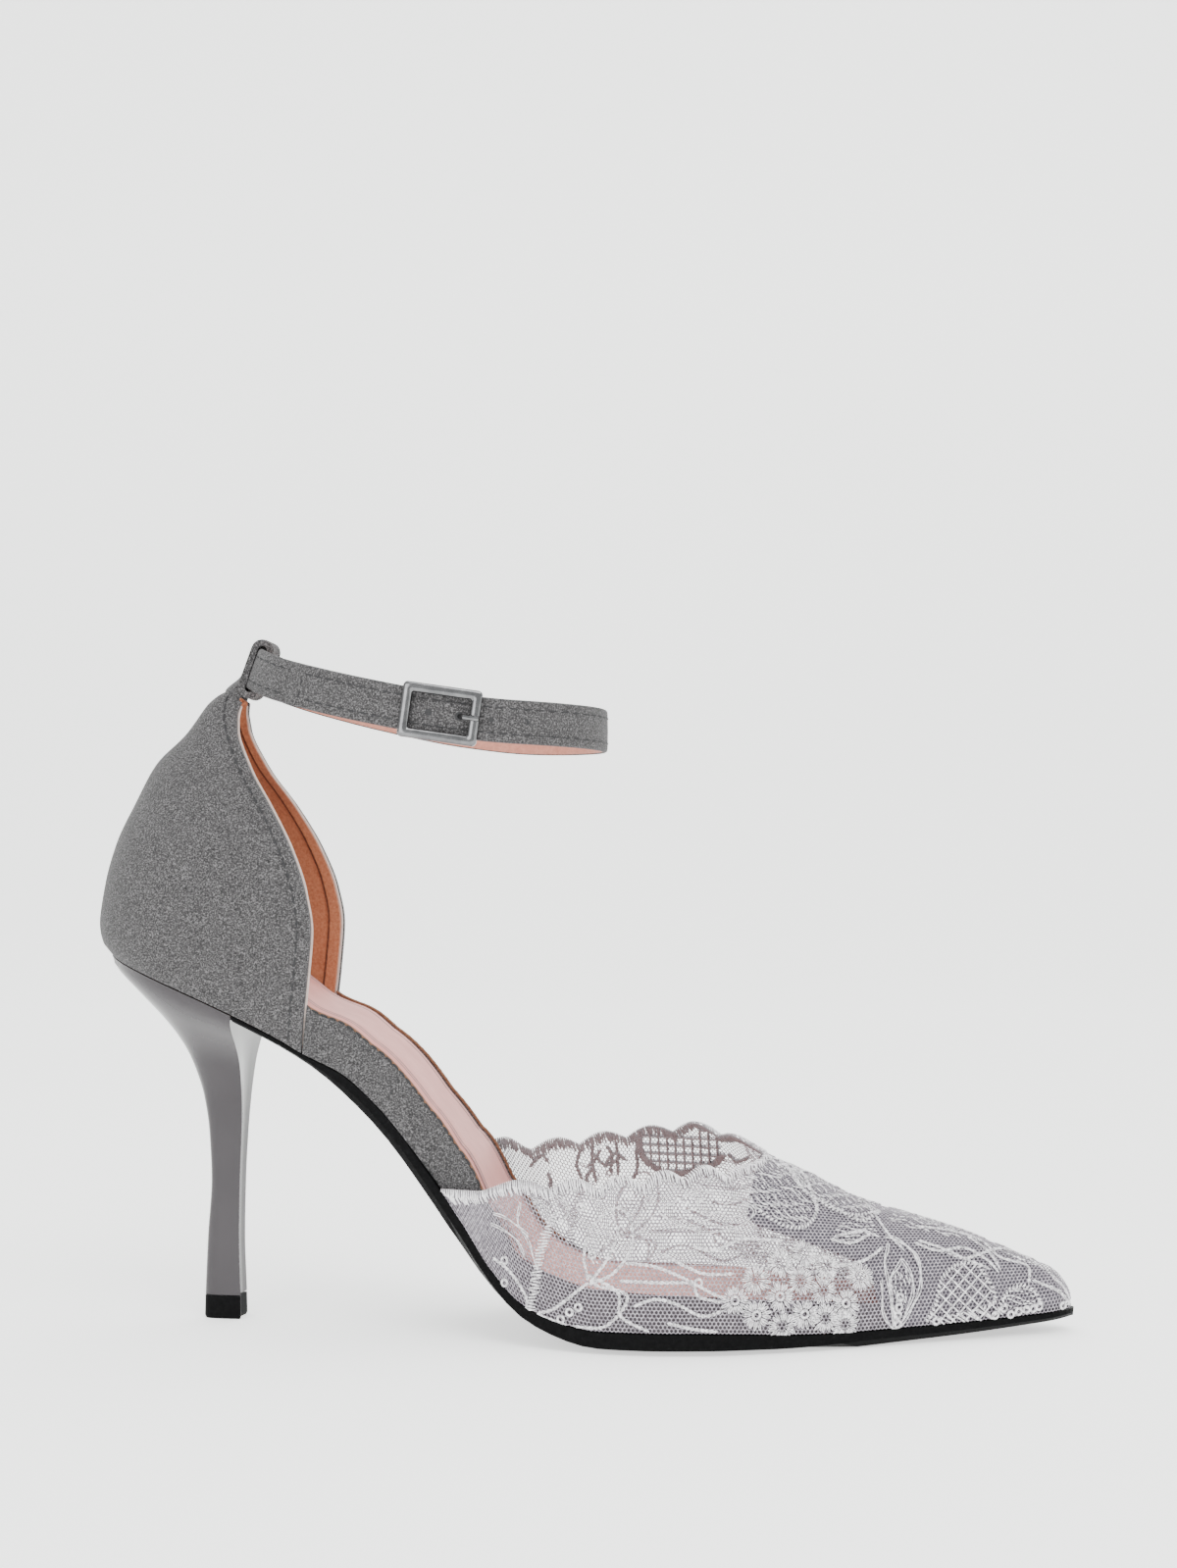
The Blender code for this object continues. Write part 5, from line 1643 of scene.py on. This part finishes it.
def build_lace():
    """Embroidery of leaves, daisies, stems, lattices and rings."""
    stems = Threads()
    beads = Threads()
    flowers = Threads()
    leaves = Threads()
    for places in (
        ((600, 1306), (596, 1280), (604, 1252), (628, 1232), (643, 1244), (644, 1272), (626, 1298),
         (600, 1310)),
        ((602, 1308), (622, 1280), (632, 1250)),
        ((600, 1308), (566, 1334), (560, 1350), (596, 1356)),
        ((606, 1310), (640, 1322), (618, 1352), (584, 1352)),
        ((600, 1300), (630, 1318), (633, 1342), (662, 1358)),
        ((638, 1288), (668, 1292), (700, 1305), (724, 1318), (738, 1324)),
        ((632, 1306), (668, 1308), (704, 1309), (712, 1322), (736, 1328)),
        ((646, 1332), (668, 1325), (690, 1330), (716, 1342), (738, 1336)),
        ((676, 1279), (696, 1290), (718, 1299), (748, 1299)),
        ((706, 1272), (730, 1275), (756, 1264), (798, 1266)),
        ((680, 1349), (706, 1355), (732, 1358)),
        ((503, 1282), (520, 1296), (536, 1320), (548, 1340)),
        ((850, 1262), (866, 1258), (880, 1256), (896, 1262)),
        ((846, 1264), (868, 1268), (888, 1258)),
        ((932, 1268), (956, 1276), (982, 1273), (1004, 1284), (1018, 1298)),
        ((938, 1252), (968, 1256), (996, 1264), (1018, 1282), (1046, 1291), (1082, 1286)),
        ((986, 1262), (1006, 1276), (1020, 1296)),
        ((950, 1240), (976, 1246), (1004, 1258), (1036, 1268)),
        ((1000, 1262), (1030, 1276), (1058, 1290)),
        ((1052, 1306), (1068, 1312), (1080, 1318), (1090, 1331)),
        ((1072, 1302), (1084, 1314), (1090, 1328)),
        ((852, 1292), (882, 1285), (900, 1272)),
        ((884, 1230), (896, 1246), (908, 1262), (922, 1276)),
    ):
        stem(stems, places)
    for places in (
        ((902, 1262), (916, 1266), (932, 1280), (938, 1300), (934, 1322), (922, 1344), (910, 1356),
         (900, 1334), (899, 1304)),
        ((938, 1292), (930, 1276), (908, 1262)),
        ((904, 1268), (902, 1296), (910, 1354)),
        ((918, 1284), (906, 1310), (912, 1350)),
        ((918, 1284), (930, 1308), (920, 1346)),
    ):
        stem(leaves, places, 0.00015, twist=False)
    leaf_outline = ((672, 1237), (692, 1224), (718, 1216), (748, 1222), (768, 1236), (750, 1252), (718, 1256),
                    (692, 1248))
    stem(leaves, leaf_outline + leaf_outline[:1], 0.00013, twist=False)
    filled(leaves, leaf_outline, 0.12, 4.6, 7.0, 2.2, 0.00017, wave=2.2)
    broad = ((752, 1186), (776, 1180), (804, 1188), (826, 1214), (832, 1236), (818, 1252), (794, 1248),
             (768, 1230), (756, 1208))
    upper = ((794, 1184), (826, 1194), (862, 1210), (888, 1224), (896, 1236), (872, 1240), (842, 1230),
             (814, 1208))
    for outline, lean, cross_lean in ((broad, 0.55, 0.95), (upper, 0.45, 0.85)):
        rope(leaves, outline, closed=True)
        filled(leaves, outline, lean, 4.0, 8.0, 1.2, 0.00020, wave=1.8)
        filled(leaves, outline, cross_lean, 7.0, 3.6, 5.0, 0.00016)
    for angle, pitch, length, gap, radius, outline in (
        (1.1, 5.0, 4.0, 2.2, 0.0002, ((604, 1262), (628, 1236), (640, 1258), (624, 1286), (604, 1290))),
        (1.35, 4.0, 4.0, 1.6, 0.0002, ((908, 1300), (926, 1296), (928, 1320), (914, 1346), (904, 1326))),
        (0.1, 4.0, 4.6, 1.4, 0.00022, ((850, 1252), (878, 1240), (896, 1250), (884, 1264), (856, 1266))),
        (0.28, 4.0, 5.0, 2.0, 0.00022,
         ((905, 1236), (950, 1244), (1000, 1258), (994, 1266), (940, 1256), (908, 1248))),
    ):
        filled(leaves, outline, angle, pitch, length, gap, radius)
    dome = ((951, 1351), (953, 1330), (960, 1304), (976, 1290), (994, 1290), (1006, 1304), (1014, 1326),
            (1018, 1346))
    rope(leaves, dome)
    lattice(leaves, dome, 9.5, (0.75, -0.85), 0.00019)
    little = ((1018, 1334), (1026, 1318), (1040, 1311), (1054, 1317), (1062, 1333))
    rope(leaves, little)
    filled(leaves, little, 0.2, 4.5, 4.0, 1.5, 0.00022)
    ladder = ((566, 1238), (556, 1262), (550, 1284), (546, 1310), (549, 1345))
    for points in sides_of(landed(ladder), True):
        path = smooth_path(points, 0.00072)
        for i, spot in enumerate(path):
            if covered(spot):
                reach = Vector((0.0012 + 0.0003 * wobble(i, 5.0), 0.0, 0.0003 * wobble(i, 6.0)))
                lay(leaves, [spot - reach, spot, spot + reach], 0.00027, 0.0003)
    for places in (
        ((503, 1238), (522, 1246), (540, 1262)), ((500, 1248), (524, 1262), (536, 1284)),
        ((530, 1226), (528, 1246), (540, 1270), (548, 1296)), ((560, 1216), (580, 1232), (570, 1248)),
    ):
        stem(stems, places, 0.00014, twist=False)
    for px, py, bead in (
        (749, 1326, True), (795, 1322, True), (771, 1341, True), (820, 1340, True), (862, 1329, True),
        (770, 1305, False), (795, 1288, False), (819, 1279, False), (816, 1306, False), (839, 1316, False),
        (841, 1344, False), (877, 1302, False), (797, 1352, False), (861, 1350, False), (842, 1291, False),
    ):
        daisy(flowers, px, py, 0.00145, 0.0031, beads if bead else None)
    for px, py in (
        (515, 1285), (515, 1308), (592, 1231), (572, 1345), (581, 1338), (590, 1333), (917, 1323),
        (916, 1333), (915, 1341), (915, 1350), (954, 1347), (1014, 1341), (1023, 1334), (1030, 1340), (1038, 1337),
        (1046, 1335), (1053, 1334), (1059, 1332), (1083, 1331), (604, 1280), (712, 1308),
    ):
        for points in sides_of(landed([(px, py)]), True):
            spot, normal = SKIN.drape(points[0], 0.0003)
            beads.ring(spot, normal, 0.00078, 0.00030)
    # Far-side threads are laid twice: a copy inside the net in painted shade, and a silver copy outside.
    shade = Threads(-1.0)
    panel = ((652, 1160), (664, 1151), (690, 1154), (702, 1164), (714, 1150), (732, 1156), (736, 1182),
             (716, 1190), (690, 1194), (666, 1188), (655, 1174))
    under = ((650, 1158), (653, 1174), (664, 1188), (686, 1196), (708, 1193), (728, 1187), (738, 1176))
    for threads in (shade, leaves):
        for places in (
            ((592, 1172), (588, 1188), (594, 1204)), ((604, 1166), (604, 1186), (608, 1206)),
            ((604, 1176), (618, 1188), (632, 1180)), ((628, 1164), (630, 1182), (630, 1200)),
            ((616, 1190), (626, 1176), (640, 1184)), ((648, 1172), (650, 1188), (646, 1202)),
            ((540, 1190), (552, 1178), (560, 1186)), ((742, 1176), (752, 1184), (764, 1180)),
            ((604, 1192), (598, 1200), (600, 1212)), ((612, 1172), (606, 1184), (598, 1190)),
            ((618, 1168), (624, 1178), (622, 1196)), ((558, 1196), (562, 1206), (560, 1216)),
        ):
            stem(threads, places, 0.00022, both=False, far=True)
        lattice(threads, panel, 8.5, (0.05, 1.52), 0.00026, both=False, far=True)
        rope(threads, under, both=False, far=True, reach=0.0010, pitch=0.0007)
    rope(shade, under, both=False, far=True, reach=0.0010, pitch=0.0006)
    stems.done("lace_stems", THREAD, "silver lace")
    leaves.done("lace_leaves", THREAD, "silver lace")
    flowers.done("lace_flowers", THREAD, "silver lace")
    beads.done("lace_rings", THREAD, "silver lace")
    shade.done("lace_branches", SHADE_THREAD, "silver lace")


def look_of_nodes():
    """Materials of the CAD nodes that stay."""
    looks = {
        "outsole": BLACK, "heel_tip": BLACK, "waist_band_outer": SUEDE, "waist_band_inner": SUEDE,
        "strap_loop": SUEDE, "buckle_prong": STEEL,
    }
    for node, look in looks.items():
        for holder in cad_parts[node].material_slots:
            holder.material = look


# Sweep: half width, front edge, place and radius of its bend, steps there, top
SWEEP_HALF = 3.0
SWEEP_NEAR = -1.6
SWEEP_FAR = 0.9
SWEEP_BEND = 0.5
SWEEP_STEPS = 16
SWEEP_TOP = 2.4
WORLD_COLOUR = (0.95, 0.97, 0.96, 1.0)
WORLD_STRENGTH = 1.22

# Area lights: name, place, aim, size, power
LIGHTS = (
    ("key", (0.35, -0.75, 1.15), (0.0, 0.0, 0.06), (0.9, 0.9), 14.0),
    ("top", (-0.15, 0.25, 1.4), (0.0, 0.0, 0.05), (1.2, 1.0), 9.0),
    ("front", (-0.5, -1.2, 0.35), (0.0, 0.0, 0.08), (0.7, 0.9), 8.5),
)


def soft_light(name, spot, target, size, power):
    """Area light that looks at a point."""
    data = bpy.data.lights.new(name, "AREA")
    data.shape = "RECTANGLE"
    data.size, data.size_y = size
    data.energy = power
    lamp = bpy.data.objects.new(name, data)
    bpy.context.scene.collection.objects.link(lamp)
    lamp.location = spot
    lamp.rotation_euler = (Vector(target) - Vector(spot)).to_track_quat("-Z", "Y").to_euler()


def build_studio():
    """Pale sweep, soft light and the photograph's camera."""
    profile = [(SWEEP_NEAR, 0.0), (SWEEP_FAR, 0.0)]
    for i in range(1, SWEEP_STEPS + 1):
        turn = math.pi / 2 * i / SWEEP_STEPS
        profile.append((SWEEP_FAR + SWEEP_BEND * math.sin(turn), SWEEP_BEND - SWEEP_BEND * math.cos(turn)))
    profile.append((SWEEP_FAR + SWEEP_BEND, SWEEP_TOP))
    points = []
    for y, z in profile:
        points += [Vector((-SWEEP_HALF, y, z)), Vector((SWEEP_HALF, y, z))]
    mesh = bpy.data.meshes.new("sweep")
    mesh.from_pydata([tuple(p) for p in points], [], grid_faces(len(profile) - 1, 1, flip=True))
    mesh.materials.append(FLOOR)
    mesh.shade_smooth()
    floor = bpy.data.objects.new("sweep", mesh)
    bpy.context.scene.collection.objects.link(floor)
    world = bpy.data.worlds.new("studio")
    world.use_nodes = True
    world.node_tree.nodes["Background"].inputs["Color"].default_value = WORLD_COLOUR
    world.node_tree.nodes["Background"].inputs["Strength"].default_value = WORLD_STRENGTH
    bpy.context.scene.world = world
    for light in LIGHTS:
        soft_light(*light)
    data = bpy.data.cameras.new("camera")
    data.sensor_width = SENSOR
    data.sensor_height = SENSOR
    data.sensor_fit = "AUTO"
    data.lens = PHOTO_FOCAL / PHOTO_HEIGHT * SENSOR
    camera = bpy.data.objects.new("camera", data)
    bpy.context.scene.collection.objects.link(camera)
    camera.location = CAMERA_SPOT
    camera.rotation_euler = (math.pi / 2, 0.0, YAW)
    bpy.context.scene.camera = camera


look_of_nodes()
build_counter()
build_heel_block()
build_sock()
build_rim_cords()
build_tongue()
build_strap()
build_buckle()
build_net()
build_toe_lining()
build_painted_shade_sheet()
build_borders()
build_lace()
build_studio()
